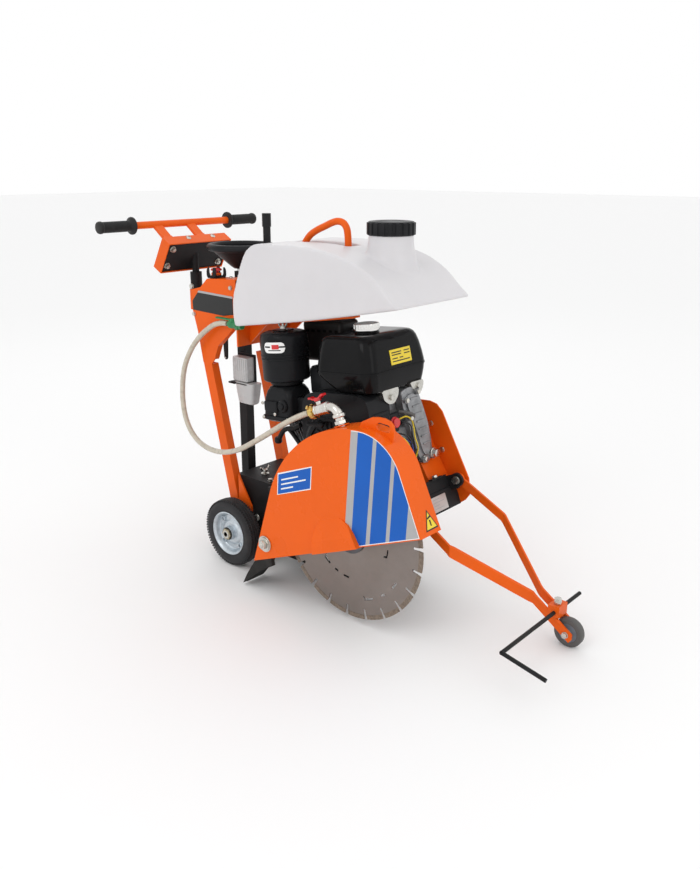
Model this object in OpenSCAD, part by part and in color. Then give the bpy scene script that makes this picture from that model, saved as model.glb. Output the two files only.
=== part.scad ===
// Walk-behind concrete floor saw with a petrol engine, water tank and front pointer.
// X points forward, Y to the operator's left, Z up. The floor is Z = 0, Y = 0 is the middle of the machine.

/* [Blade] */
// Diameter of the diamond blade
blade_d = 450; // [430:5:450]
// Thickness of the steel core of the blade
core_t = 3.2; // [2.8:0.1:3.6]
// Number of slots in the rim of the blade
blade_slots = 22; // [18:1:26]

/* [Carriage] */
// Diameter of a rear wheel
wheel_d = 200; // [196:1:202]
// Diameter of a front wheel
front_wheel_d = 100; // [96:1:102]
// Nose-up angle of the chassis in the transport position
lift = 22; // [21.8:0.1:22.2]

/* [Handles] */
// Length of the handlebar without its grips
handlebar_w = 570; // [540:10:572]
// Radius of the handlebar tube
bar_r = 10.5; // [10:0.1:10.5]
// Radius of the handwheel's rim, to the middle of the tube
handwheel_r = 87; // [84:1:88]

/* [Water] */
// Width of the water tank
tank_w = 295; // [280:5:296]
// Wall thickness of the water tank
tank_wall = 4; // [3:0.5:5]
// Diameter of the water hose
hose_d = 15; // [13:0.5:15]

/* [Hidden] */

round_fn = 64;   // facets that stand for a true circle
fit = 0.05;      // radial clearance of a running fit
gap = 0.3;       // clearance between pieces that move past each other

orange = "#E8641E";
black = "#1B1B1D";
steel = "#B9BCC0";
grey = "#77797C";

// rear axle, which is also the pivot of the chassis
axle_x = -337;
axle_z = 100;
axle_r = 12;
tyre_y = 133;        // inner side of a rear tyre
tyre_w = 45;
front_x = 80;        // front axle
front_wheel_y = 85;
front_wheel_w = 28;
front_axle_r = 8;

// blade and spindle, in the level chassis frame whose origin is the rear axle
spindle_u = 503;
spindle_w = -47;
blade_y = -195;
spindle_r = 15;
flange_r = 50;

// chassis, in its own frame
side_y = 121;        // inner face of a side plate
side_t = 6;
deck_w = -25;        // top of the deck
skirt_w = -79;       // bottom edge of the chassis
nose_u = 600;        // front face of the chassis
wide_y = 143;        // left side of the wide front part
bed_u = 160;
bed_top = 95.8;
bed_tilt = 17;
tail_u = -98;        // pin that the lift rod drives

// guard, in the chassis frame
guard_y = -235;      // outer face
guard_d = 74;        // depth
guard_t = 3;
bolt_u = 223;
bolt_w = -33;
guard_floor = -75;
guard_back_u = 155;
guard_front_u = 760;

// engine, whose own frame stands on the bed below the crankshaft
engine_u = 429;
engine_w = 20.2;
crank_x = 20;
crank_z = 132;
crank_r = 12.7;
cover_y = 60;        // right face of the belt cover
pulley_y = 85;
pulley_w = 30;
engine_pulley_r = 26;
spindle_pulley_r = 31;

// frame at the rear
leg_y = 115;         // outer face of a leg
leg_w = 25;
leg_d = 35;
leg_lean = 13;
column_x = -432;
column_w = 30;
screw_r = 6;
rod_r = 9;
post_x = -637;

// handlebar
bar_x = -691;
bar_z = 953;
grip_len = 117;

// water tank
tank_outline = [
    [-309, 703], [-314, 745], [-311, 785], [-279, 869], [-262, 900], [-243, 918], [-220, 927],
    [-75, 931], [20, 924], [117, 902], [178, 870], [214, 836], [236, 813], [250, 807],
    [105, 776], [-60, 744]
];
neck_x = 110;
neck_z = 957;
neck_r = 55;
cap_r = 60;

// pointer, drawn where it rests on the floor
pointer_pivot = [247, 0, 323];
pointer_wheel_at = [625, 66, 37.5];
rod_x = 592;
rod_z = 86;
rod_d = 10;
clamp_y = 61;

// points of the water hose, from the tap to the valve on the guard
hose_path = [
    [-353, -132, 705], [-376, -133, 703.5], [-404, -134, 696], [-432, -136, 680], [-460, -137, 660],
    [-487, -139, 634], [-510, -141, 604], [-528, -144, 570], [-538, -147, 534], [-541, -150, 498],
    [-538, -154, 462], [-529, -158, 428], [-513, -162, 398], [-489, -166, 373], [-456, -169, 353],
    [-415, -172, 343], [-372, -175, 343], [-330, -178, 350], [-290, -181, 363], [-250, -184, 381],
    [-205, -187, 407], [-160, -190, 434], [-115, -193, 462], [-75, -196, 487], [-38, -198, 508],
    [-6, -199, 524], [12, -198, 532]
];

// ---------- helpers ----------

// the level chassis frame: origin at the rear axle, raised by the lift angle
module in_chassis() {
    translate([axle_x, 0, axle_z]) rotate([0, -lift, 0]) children();
}

// the engine's frame: origin on the bed below the crankshaft
module in_engine() {
    in_chassis() translate([engine_u, 0, engine_w]) rotate([0, bed_tilt, 0]) children();
}

// a cylinder along +Y from y0 to y1
module y_cyl(r, y0, y1, x = 0, z = 0) {
    translate([x, y0, z]) rotate([-90, 0, 0]) cylinder(r = r, h = y1 - y0, $fn = round_fn);
}

// a plate with an outline in X and Z, from y0 to y1
module xz_plate(points, y0, y1) {
    translate([0, y1, 0]) rotate([90, 0, 0]) linear_extrude(y1 - y0) polygon(points);
}

// a box given by its two corners
module corners(a, b) {
    translate(a) cube(b - a);
}

// a rectangular bar from p to q, w high and t thick
module bar(p, q, w, t) {
    d = q - p;
    translate(p) rotate([0, -asin(d.z / norm(d)), atan2(d.y, d.x)])
        translate([0, -t / 2, -w / 2]) cube([norm(d), t, w]);
}

// a round bar from p to q
module rod(p, q, r) {
    d = q - p;
    translate(p) rotate([0, acos(d.z / norm(d)), atan2(d.y, d.x)]) cylinder(r = r, h = norm(d), $fn = round_fn);
}

// points of an arc in a plane
function arc(c, r, a0, a1, n) = [for (i = [0:n]) c + r * [cos(a0 + (a1 - a0) * i / n), sin(a0 + (a1 - a0) * i / n)]];

function unit(v) = v / norm(v);

// a tube swept along a list of points, closed at both ends
module sweep(path, r, sides) {
    n = len(path);
    function along(i) = unit(path[min(i + 1, n - 1)] - path[max(i - 1, 0)]);
    function across(i) = unit(cross(along(i), [0, 1, 0]));
    points = [for (i = [0:n - 1]) for (k = [0:sides - 1])
        path[i] + r * (cos(360 * k / sides) * across(i) + sin(360 * k / sides) * cross(along(i), across(i)))];
    walls = [for (i = [0:n - 2]) for (k = [0:sides - 1])
        [i * sides + k, i * sides + (k + 1) % sides, (i + 1) * sides + (k + 1) % sides, (i + 1) * sides + k]];
    first = [for (k = [sides - 1:-1:0]) k];
    last = [for (k = [0:sides - 1]) (n - 1) * sides + k];
    polyhedron(points, concat(walls, [first, last]), convexity = 6);
}

// ---------- carriage ----------

module undercarriage() color(black) {
    box_x0 = -385;
    box_x1 = -245;
    half = 90;
    wall = 4;
    top = 250;
    difference() {
        union() {
            for (side = [-1, 1]) translate([0, side > 0 ? half - wall : -half, 0])
                corners([box_x0, 0, 60], [box_x1, wall, top]);
            corners([box_x0, -half, top - wall], [box_x1, half, top]);
            corners([box_x1 - wall, -half, 32], [box_x1, half, top]);
            corners([-450, -18, 172], [box_x0 + wall, 18, 191.9]);
            corners([box_x0, -half, 172], [box_x0 + wall, half, 191.9]);
        }
        y_cyl(axle_r, -200, 200, axle_x, axle_z);
        translate([column_x, 0, 160]) cylinder(r = rod_r + 1, h = 60, $fn = round_fn);
    }
    difference() {
        for (y = [-72, 60]) union() {
            corners([box_x1, y, 32], [105, y + 12, 62]);
        }
        y_cyl(front_axle_r, -200, 200, front_x, front_wheel_d / 2);
    }
}

module rear_axle() color(steel) {
    y_cyl(axle_r, -186, 186, axle_x, axle_z);
}

module front_axle() color(steel) {
    y_cyl(front_axle_r, -118, 118, front_x, front_wheel_d / 2);
}

// a leg leans back from the foot at the axle to the console
module leg(side) color(orange) {
    foot_z = 157;
    head_z = 575;
    foot_x = -385;
    run = (head_z - foot_z) * tan(leg_lean);
    y0 = side > 0 ? leg_y - leg_w : -leg_y;
    gusset = side > 0 ? leg_y - 5 : -leg_y;
    wall = 3;
    difference() {
        xz_plate([[foot_x, foot_z], [foot_x + leg_d, foot_z], [foot_x + leg_d - run, head_z],
                  [foot_x - run, head_z]], y0, y0 + leg_w);
        xz_plate([[foot_x + wall, foot_z + wall], [foot_x + leg_d - wall, foot_z + wall],
                  [foot_x + leg_d - wall - run, head_z + 1], [foot_x + wall - run, head_z + 1]],
                 y0 + wall, y0 + leg_w - wall);
    }
    xz_plate([[foot_x + leg_d - 2, foot_z], [-300, foot_z], [-300, 175], [-352, 262]], gusset, gusset + 5);
}

module leg_right() leg(-1);

module leg_left() leg(1);

// two folded side channels joined by a cross plate that carries the column and the post socket
module console() color(orange) {
    sheet = 3;
    fold = 52;
    inner = leg_y - sheet;
    outline = [[-446, 575.1], [-483, 575.1], [-500, 661], [-519, 724], [-521, 781], [-480, 791], [-450, 817],
               [-334, 824], [-336, 700], [-345, 691], [-415, 631], [-433, 590]];
    top_edge = [[-450, 817], [-334, 824], [-334, 821], [-449, 814]];
    rear_edge = [[-500, 661], [-519, 724], [-521, 781], [-518, 781], [-516, 724], [-497, 661]];
    low_edge = [[-345, 691], [-415, 631], [-433, 590], [-436, 592], [-418, 633], [-347, 694]];
    difference() {
        union() {
            for (side = [-1, 1]) {
                xz_plate(outline, side > 0 ? inner : -leg_y, side > 0 ? leg_y : -inner);
                for (edge = [top_edge, rear_edge])
                    xz_plate(edge, side > 0 ? inner - fold : -inner, side > 0 ? inner : fold - inner);
                xz_plate(low_edge, side > 0 ? inner - 14 : -inner, side > 0 ? inner : 14 - inner);
            }
            corners([-516, -inner, 740], [-380, inner, 746]);
            corners([-620, -25, 740], [-516, 25, 746]);
            y_cyl(19, -19, 19, post_x, 0);
            translate([post_x, 0, 700]) cylinder(r = 21, h = 60, $fn = round_fn);
        }
        translate([column_x - column_w / 2, -column_w / 2, 730]) cube([column_w, column_w, 30]);
        translate([post_x, 0, 690]) cylinder(r = 17.5, h = 90, $fn = round_fn);
        y_cyl(60, -60, 60, post_x, 0);
    }
    translate([-440, -88, 0]) difference() {
        translate([0, 0, 815]) cylinder(r = 14, h = 17, $fn = round_fn);
        translate([0, 0, 800]) cylinder(r = 7.2, h = 60, $fn = round_fn);
    }
}

module depth_column() color(black) {
    wall = 3;
    base = 192;
    top = 830;
    difference() {
        translate([column_x - column_w / 2, -column_w / 2, base]) cube([column_w, column_w, top - base]);
        translate([column_x - column_w / 2 + wall, -column_w / 2 + wall, base - 1])
            cube([column_w - 2 * wall, column_w - 2 * wall, top - base - 9]);
        translate([column_x, 0, base]) cylinder(r = screw_r + fit, h = top, $fn = round_fn);
    }
}

// ---------- handlebar ----------

// frame of the tray, whose front leans forward at the top
module in_tray() {
    translate([-636, 0, 920]) rotate([0, 30, 0]) children();
}

module handlebar_tray() color(orange) {
    half = 117.5;
    depth = 36;
    height = 100;
    sheet = 3;
    in_tray() difference() {
        corners([0, -half, -height], [depth, half, 0]);
        corners([sheet, -half + sheet, -height + sheet], [depth + 1, half - sheet, -sheet]);
    }
}

// telescopic post with the black plate that is bolted into the tray
module handlebar_post() color(black) {
    translate([post_x, 0, 700]) cylinder(r = 17.45, h = 112, $fn = round_fn);
    translate([post_x, 0, 812]) cylinder(r = 10.5, h = 76, $fn = round_fn);
    in_tray() corners([28, -114, -96.5], [33, 114, -3.5]);
}

module handlebar() color(orange) {
    y_cyl(bar_r, -handlebar_w / 2, handlebar_w / 2, bar_x, bar_z);
    for (y = [-95, 26]) {
        bar([-642.5, y, 916.8], [bar_x, y, bar_z], 8, 30);
        in_tray() corners([-6, y - 15, -14], [0, y + 15, 0]);
    }
}

module handlebar_grips() color(black) {
    grip_r = 15.5;
    flange = 25;
    end_y = 293;
    for (side = [-1, 1]) scale([1, 1, 1]) difference() {
        union() {
            y_cyl(grip_r, side > 0 ? end_y - grip_len : -end_y, side > 0 ? end_y : grip_len - end_y, bar_x, bar_z);
            y_cyl(flange, side > 0 ? end_y - grip_len : grip_len - end_y - 5,
                  side > 0 ? end_y - grip_len + 5 : grip_len - end_y, bar_x, bar_z);
        }
        y_cyl(bar_r, -handlebar_w / 2 - 0.1, handlebar_w / 2 + 0.1, bar_x, bar_z);
    }
}

// ---------- water tank ----------

module water_tank() color("#F2F0EC") {
    half = tank_w / 2;
    difference() {
        union() {
            difference() {
                xz_plate(tank_outline, -half, half);
                translate([0, half - tank_wall, 0]) rotate([90, 0, 0])
                    linear_extrude(tank_w - 2 * tank_wall) offset(delta = -tank_wall) polygon(tank_outline);
            }
            translate([neck_x, 0, 885]) cylinder(r = neck_r, h = neck_z + 26 - 885, $fn = round_fn);
            corners([-219, -28, 876], [-6, 28, 925]);
        }
        translate([neck_x, 0, 850]) cylinder(r = neck_r - 5, h = 200, $fn = round_fn);
        corners([-215, -24, 880], [-10, 24, 1000]);
    }
}

module tank_cradle() color(orange) {
    for (y = [-80, 76]) {
        translate([-336, y, 693]) rotate([0, -9.35, 0]) cube([400, 25, 5]);
        xz_plate([[-335, 695], [-258, 708], [-335, 640]], y + 10, y + 15);
    }
    corners([-335.9, -leg_y, 640], [-330, leg_y, 696]);
}

// bent tube that stands out of the recess in the tank
module tank_handle() color(orange) {
    r = 9;
    points = [[-195, 0, 892], [-178, 0, 935], [-130, 0, 960], [-70, 0, 980], [-48, 0, 980], [-32, 0, 966], [-28, 0, 892]];
    for (i = [0:len(points) - 2]) rod(points[i], points[i + 1], r);
    for (i = [1:len(points) - 2]) translate(points[i]) sphere(r = r + 0.3, $fn = round_fn);
    for (x = [-195, -28]) translate([x, 0, 880.1]) cylinder(r = 14, h = 12, $fn = round_fn);
}

module tank_cap() color(black) {
    translate([neck_x, 0, 0]) difference() {
        union() {
            translate([0, 0, neck_z]) cylinder(r = cap_r - 2, h = 34, $fn = round_fn);
            for (a = [0:30:330]) rotate([0, 0, a]) translate([cap_r - 4, -6, neck_z]) cube([4, 12, 30]);
        }
        translate([0, 0, neck_z - 1]) cylinder(r = neck_r + gap, h = 30, $fn = round_fn);
    }
}

module water_tap() color("#2E9A4A") {
    translate([-345, -132, 705]) rotate([0, 90, 0]) cylinder(r = 8, h = 34.3, $fn = round_fn);
    translate([-351.9, -132, 705]) rotate([0, 90, 0]) cylinder(r = 5, h = 8, $fn = round_fn);
}

module tap_lever() color("#2E9A4A") {
    translate([-328, -132, 713.2]) cylinder(r = 8, h = 8, $fn = round_fn);
    corners([-396, -137, 715.2], [-328, -127, 719.2]);
}

module water_hose() color("#CFCDBF") {
    sweep(hose_path, hose_d / 2, 10);
}

// ribbed holder with its clear cup, on a strip fixed to the column
module tool_box() color("#AEB2B4") {
    corners([-408, -72, 526], [-346, -40, 597]);
    corners([-399, -76, 463], [-318, -38, 525.9]);
    corners([-416.9, -39.9, 530], [-404, -36, 590]);
    corners([-416.9, -39.9, 530], [-413, 15, 590]);
}

// ---------- chassis ----------

module side_plate(y0, y1, front) {
    outline = [[-110, -12], [0, -30], [90, skirt_w], [front, skirt_w], [front, deck_w], [120, deck_w], [0, 30], [-110, 12]];
    difference() {
        union() {
            xz_plate(outline, y0, y1);
            y_cyl(30, y0, y1);
        }
        y_cyl(axle_r + fit, y0 - 1, y1 + 1);
    }
}

module chassis_frame() color(black) in_chassis() {
    sheet = 6;
    wide_u = 294;
    well = [120, front_x - axle_x + 63];
    difference() {
        union() {
            side_plate(-side_y - side_t, -side_y, nose_u);
            y_cyl(22, -side_y - side_t, -side_y, bolt_u, bolt_w);
        }
        y_cyl(8, -200, 0, bolt_u, bolt_w);
        y_cyl(30, -side_y - side_t - 1, 0, spindle_u, spindle_w);
    }
    side_plate(side_y, side_y + side_t, wide_u + sheet);
    corners([wide_u, side_y, skirt_w], [wide_u + sheet, wide_y, deck_w]);
    corners([wide_u, wide_y - sheet, skirt_w], [nose_u, wide_y, deck_w]);
    corners([nose_u - sheet, -side_y - side_t, skirt_w], [nose_u, wide_y, deck_w]);
    difference() {
        union() {
            corners([125, -side_y, deck_w - sheet], [nose_u, side_y, deck_w]);
            corners([wide_u, -side_y, deck_w - sheet], [nose_u, wide_y, deck_w]);
        }
        for (side = [-1, 1]) translate([well[0], side > 0 ? 81 : -117, deck_w - 20])
            cube([well[1] - well[0], 36, 40]);
        corners([spindle_u - 37, -side_y, deck_w - 20], [spindle_u + 37, 128, deck_w + 20]);
    }
    for (side = [-1, 1])
        corners([tail_u - 10, side > 0 ? 14 : -side_y, -10], [tail_u + 10, side > 0 ? side_y : -14, 10]);
    y_cyl(6, -14, 14, tail_u, 0);
    for (y = [-114, 118]) {
        corners([nose_u - 1, y, -34], [625, y + 8, 4]);
        y_cyl(19, y, y + 8, 625, -12);
        corners([nose_u - 9, y, deck_w - 1], [nose_u + 3, y + 8, 4]);
    }
    y_cyl(6, -107, -92, 625, -12);
    y_cyl(6, 125, 138.5, 625, -12);
}

module engine_bed() color(black) in_chassis() {
    plate = 6;
    translate([bed_u, 0, bed_top]) rotate([0, bed_tilt, 0]) corners([0, -side_y + 1, 0], [360, 58, plate]);
    for (y = [-side_y + 1, 50])
        xz_plate([[bed_u, deck_w], [bed_u, bed_top - 1], [bed_u + 30, bed_top - 9.8],
                  [480, 0], [454, deck_w]], y, y + 5);
}

module spindle_housing() color(grey) in_chassis() {
    difference() {
        union() {
            y_cyl(30, -150, 75, spindle_u, spindle_w);
            corners([spindle_u - 41, -118, deck_w], [spindle_u + 41, 55, deck_w + 6]);
        }
        y_cyl(18, -151, 76, spindle_u, spindle_w);
    }
}

// pivot bolt of the guard, fixed in the side plate
module guard_bolt() color(steel) in_chassis() {
    y_cyl(8, guard_y - 4, -side_y, bolt_u, bolt_w);
    translate([bolt_u, guard_y - 4 + 0.001, bolt_w]) rotate([90, 0, 0]) cylinder(r = 19, h = 3, $fn = round_fn);
    translate([bolt_u, guard_y - 7 + 0.001, bolt_w]) rotate([90, 0, 0]) cylinder(r = 13, h = 9, $fn = 6);
    y_cyl(14, guard_y + guard_d + 4, -side_y - side_t, bolt_u, bolt_w);
}

// ---------- engine ----------

module engine_block() color(black) in_engine() {
    difference() {
        union() {
            corners([-110, -108, 0], [125, 58, 215]);
            corners([-98, -108, 215], [108, 58, 292]);
            y_cyl(88, -108.1, -104, crank_x, crank_z);
        }
        y_cyl(crank_r + fit, -30, 60, crank_x, crank_z);
    }
    corners([-130, -66, 280], [-62, 50, 340]);
    corners([-150, -40, 281], [-128, 8, 339]);
    translate([-110, -30, 110]) rotate([0, -25, 0]) {
        corners([-120, 0, 0], [4, 84, 110]);
        for (x = [-100:16:-20]) corners([x, -4, -8], [x + 6, 88, 118]);
    }
}

module recoil_cover() color(black) in_engine() {
    y_cyl(118, -150, -112, crank_x - 5, crank_z + 5);
    corners([-90, -142, 150], [100, -112, 280]);
    y_cyl(60, -154, -150, crank_x - 5, crank_z + 5);
}

// one level of the fuel tank: two opposite corners of a rounded rectangle
module tank_ring(x0, y0, x1, y1, z) {
    r = 28;
    translate([x0 + r, y0 + r, z]) linear_extrude(0.5) offset(r = r) square([x1 - x0 - 2 * r, y1 - y0 - 2 * r]);
}

module fuel_tank() color(black) in_engine() {
    hull() {
        tank_ring(6, -128, 128, 92, 298);
        tank_ring(-52, -138, 138, 102, 345);
    }
    hull() {
        tank_ring(-52, -138, 138, 102, 345);
        tank_ring(-52, -138, 138, 102, 352);
    }
    hull() {
        tank_ring(-52, -138, 138, 102, 352);
        tank_ring(-38, -124, 120, 88, 436);
    }
    translate([58, -45, 430]) cylinder(r = 26, h = 12, $fn = round_fn);
}

module fuel_cap() color(steel) in_engine() {
    translate([58, -45, 442.1]) cylinder(r = 33, h = 20, $fn = round_fn);
}

module air_cleaner() color(black) in_engine() {
    translate([-196, -88, 0]) {
        translate([0, 0, 310]) cylinder(r = 64, h = 128, $fn = round_fn);
        translate([0, 0, 438]) cylinder(r = 60, h = 6, $fn = round_fn);
        translate([0, 0, 444]) cylinder(r = 10, h = 10, $fn = round_fn);
        translate([0, 0, 296]) cylinder(r = 44, h = 14, $fn = round_fn);
    }
    corners([-252, -142, 206], [-140, -44, 296]);
}

module muffler() color(black) in_engine() {
    difference() {
        corners([-205, -8, 345], [-60, 68, 462]);
        for (x = [-190:20:-80]) corners([x, -10, 430], [x + 8, 70, 440]);
    }
    translate([-150, 30, 240]) cylinder(r = 18, h = 106, $fn = round_fn);
}

// ---------- belt drive ----------

cover_outline = [[400, deck_w + 0.2], [400, 185], [420, 218], [470, 226], [530, 207], [553, 170], [588, -20],
                 [588, deck_w + 0.2]];

module belt_cover() color(orange) in_chassis() {
    sheet = 2.5;
    skirt = [[400, deck_w], [400, 190], [420, 235], [455, 252], [534, 229], [594, 209], [613, 196], [624, 173],
             [647, -17], [636, -60], [616, -73], [594, skirt_w], [420, skirt_w], [400, -60]];
    difference() {
        xz_plate(cover_outline, cover_y + 3.1, wide_y + 0.3);
        translate([0, wide_y + 1, 0]) rotate([90, 0, 0]) linear_extrude(100)
            offset(delta = -sheet) polygon(cover_outline);
        corners([405, cover_y, deck_w - 5], [584, wide_y + 1, deck_w + 8]);
        y_cyl(55, 80, 118, front_x - axle_x, front_wheel_d / 2 - axle_z);
    }
    xz_plate(skirt, wide_y + 0.2, wide_y + 4);
}

module belt_backplate() color(orange) in_chassis() {
    difference() {
        xz_plate(cover_outline, cover_y, cover_y + 3);
        y_cyl(31, cover_y - 1, cover_y + 4, spindle_u, spindle_w);
        translate([engine_u, 0, engine_w]) rotate([0, bed_tilt, 0])
            y_cyl(24, cover_y - 1, cover_y + 4, crank_x, crank_z);
    }
}

// centre of the crankshaft in the chassis frame
crank_at = [engine_u + crank_x * cos(bed_tilt) + crank_z * sin(bed_tilt),
            engine_w - crank_x * sin(bed_tilt) + crank_z * cos(bed_tilt)];

module belt_loop(extra) {
    hull() {
        translate([spindle_u, spindle_w]) circle(r = spindle_pulley_r + extra, $fn = 48);
        translate(crank_at) circle(r = engine_pulley_r + extra, $fn = 48);
    }
}

module drive_belt() color(black) in_chassis() {
    translate([0, pulley_y + pulley_w - 3, 0]) rotate([90, 0, 0]) linear_extrude(pulley_w - 6) difference() {
        belt_loop(5);
        belt_loop(0.5);
    }
}

module pulley(r, bore) {
    difference() {
        y_cyl(r, pulley_y, pulley_y + pulley_w);
        y_cyl(bore, pulley_y - 1, pulley_y + pulley_w + 1);
    }
}

module spindle_pulley() color(grey) in_chassis() translate([spindle_u, 0, spindle_w]) pulley(spindle_pulley_r, 12);

module engine_pulley() color(grey) in_engine() translate([crank_x, 0, crank_z]) pulley(engine_pulley_r, crank_r);

module crankshaft() color(steel) in_engine() {
    y_cyl(crank_r, -25, 120, crank_x, crank_z);
}

// ---------- guard ----------

guard_outline = concat(
    [[guard_back_u, guard_floor]],
    arc([556, -117], 335, 140, 71, 36),
    arc([622.7, 77], 130, 66, 0, 24),
    [[guard_front_u, guard_floor]]);

module bulge(grow) {
    intersection() {
        translate([0, guard_y + 1, 0]) rotate([90, 0, 0]) linear_extrude(60) offset(delta = grow)
            polygon([[402, guard_floor - 10], [405, guard_floor], [418, -32], [440, -3], [470, 11], [505, 11],
                     [530, 0], [548, -17], [557, -41], [563, guard_floor], [564, guard_floor - 10]]);
        translate([0, 0, guard_floor]) rotate([90, 0, 90]) translate([0, 0, 390]) linear_extrude(200)
            polygon([[guard_y + 1, 0], [guard_y - 15 - grow, 0], [guard_y - 13 - grow, 30], [guard_y + 1, 84 + grow]]);
    }
}

module blade_guard() color(orange) in_chassis() {
    back = guard_y + guard_d;
    difference() {
        union() {
            difference() {
                xz_plate(guard_outline, guard_y, back);
                translate([0, back + 1, 0]) rotate([90, 0, 0]) linear_extrude(guard_d - guard_t + 1)
                    offset(delta = -guard_t) polygon(guard_outline);
                corners([guard_back_u + 5, guard_y + guard_t, guard_floor - 1],
                        [guard_front_u - 4, back + 1, guard_floor + 6]);
            }
            bulge(0);
            xz_plate([[200, -70], [166, -70], [210, 0], [262, 40], [262, -70]], back - 3, back);
        }
        difference() {
            bulge(-3);
            corners([400, guard_y - 60, guard_floor - 1], [600, guard_y + 2, guard_floor - 0.5]);
        }
        y_cyl(50, guard_y - 1, guard_y + guard_t + 1, spindle_u, guard_floor - 10);
        y_cyl(8 + fit, guard_y - 1, back + 1, bolt_u, bolt_w);
        translate([585, -198, 190]) cylinder(r = 9, h = 60, $fn = round_fn);
    }
    translate([0, -198, 0]) rotate([90, 0, 0]) linear_extrude(6) difference() {
        polygon([[640, 190], [645, 208], [657, 215.5], [690, 219], [708, 215.5], [726, 208.5], [740, 198],
                 [745, 187], [743, 173], [736, 159], [728, 146], [700, 130]]);
        offset(delta = -2) polygon(guard_outline);
        translate([715.4, 189]) rotate(-25) {
            square([23, 19], center = true);
            for (x = [-11.5, 11.5]) translate([x, 0]) circle(r = 9.5, $fn = round_fn);
        }
    }
}

module guard_flap() color(black) in_chassis() {
    xz_plate([[158, guard_floor - 0.2], [226, guard_floor - 0.2], [221, -97], [176, -103], [130, -116], [78, -134],
              [104, -112], [132, -92]], guard_y + 1, guard_y + 13);
    xz_plate([[158, guard_floor - 0.2], [176, guard_floor - 0.2], [150, -99], [116, -117], [84, -134.5], [78, -134],
              [104, -112], [132, -92]], guard_y + 12, guard_y + guard_d - 1);
}

// nipple and elbow on top of the guard
elbow_w = 270;

module water_elbow() color(steel) in_chassis() {
    difference() {
        union() {
            translate([585, -198, 211.5]) cylinder(r = 8.95, h = elbow_w - 24 - 211.5, $fn = round_fn);
            translate([585, -198, 220]) cylinder(r = 15, h = 11, $fn = 6);
            translate([585, -198, elbow_w - 30]) cylinder(r = 15, h = 6, $fn = round_fn);
            translate([561, -198, elbow_w - 24]) rotate([90, 0, 0]) rotate_extrude(angle = 90, $fn = round_fn)
                translate([24, 0]) circle(r = 12, $fn = round_fn);
            translate([552, -198, elbow_w]) rotate([0, 90, 0]) cylinder(r = 15, h = 9, $fn = round_fn);
        }
        translate([585, -198, 200]) cylinder(r = 5, h = 46, $fn = round_fn);
    }
}

module ball_valve() color("#C9B46A") in_chassis() {
    translate([514, -198, elbow_w]) rotate([0, 90, 0]) cylinder(r = 13, h = 37.9, $fn = round_fn);
    translate([496, -198, elbow_w]) rotate([0, 90, 0]) cylinder(r = 18, h = 18, $fn = round_fn);
    translate([531, -198, elbow_w + 10]) cylinder(r = 6, h = 13, $fn = round_fn);
    translate([490, -198, elbow_w]) rotate([0, 90, 0]) cylinder(r = 5, h = 7, $fn = round_fn);
}

module valve_lever() color("red") in_chassis() {
    translate([531, -198, elbow_w + 23.1]) {
        cylinder(r = 8, h = 8, $fn = round_fn);
        corners([-22, -6, 1], [22, 6, 8]);
        for (x = [-22, 22]) translate([x, 0, 1]) cylinder(r = 6, h = 12, $fn = round_fn);
    }
}

// ---------- blade ----------

slot_w = 6.5;
segment_h = 10;

module spun() in_chassis() translate([spindle_u, 0, spindle_w]) children();

module blade_core() color(steel) spun() {
    core_r = blade_d / 2 - segment_h;
    translate([0, blade_y + core_t / 2, 0]) rotate([90, 0, 0]) linear_extrude(core_t) difference() {
        circle(r = core_r, $fn = 180);
        circle(r = 12.7, $fn = round_fn);
        for (i = [0:blade_slots - 1]) rotate(i * 360 / blade_slots) {
            translate([core_r - 14, -slot_w / 2]) square([30, slot_w]);
            translate([core_r - 14, 0]) circle(r = slot_w / 2 + 0.4, $fn = 24);
        }
    }
}

module blade_segments() color(grey) spun() {
    segment_t = core_t + 0.8;
    pitch = 360 / blade_slots;
    for (i = [0:blade_slots - 1]) rotate([0, -(i + 0.5) * pitch, 0])
        rotate([90, 0, 0]) translate([0, 0, -blade_y - segment_t / 2])
            rotate([0, 0, -pitch / 2 + 1.2])
                rotate_extrude(angle = pitch - 2.4, $fn = 180)
                    translate([blade_d / 2 - segment_h, 0]) square([segment_h, segment_t]);
}

// two flanges and the nut that clamp the blade
module blade_clamp() color(grey) spun() {
    inner = blade_y + core_t / 2;
    outer = blade_y - core_t / 2;
    difference() {
        union() {
            y_cyl(flange_r, inner, inner + 10);
            y_cyl(flange_r, outer - 10, outer);
            translate([0, outer - 10, 0]) rotate([90, 0, 0]) cylinder(r = 18, h = 13, $fn = 6);
        }
        y_cyl(12.7, outer - 40, inner + 40);
    }
}

module blade_spindle() color(steel) spun() {
    y_cyl(12.65, -226, -180);
    y_cyl(18 - fit, -180, 75);
    y_cyl(12, 75, 122);
}

// ---------- wheels ----------

module tyre(y0) color(black) {
    rim_r = 62;
    translate([axle_x, y0, axle_z]) rotate([-90, 0, 0]) rotate_extrude($fn = 96) polygon([
        [rim_r, 3], [rim_r, tyre_w - 3], [wheel_d / 2 - 14, tyre_w], [wheel_d / 2 - 4, tyre_w - 8],
        [wheel_d / 2, tyre_w * 0.62], [wheel_d / 2, tyre_w * 0.38], [wheel_d / 2 - 4, 8], [wheel_d / 2 - 14, 0]]);
}

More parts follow.
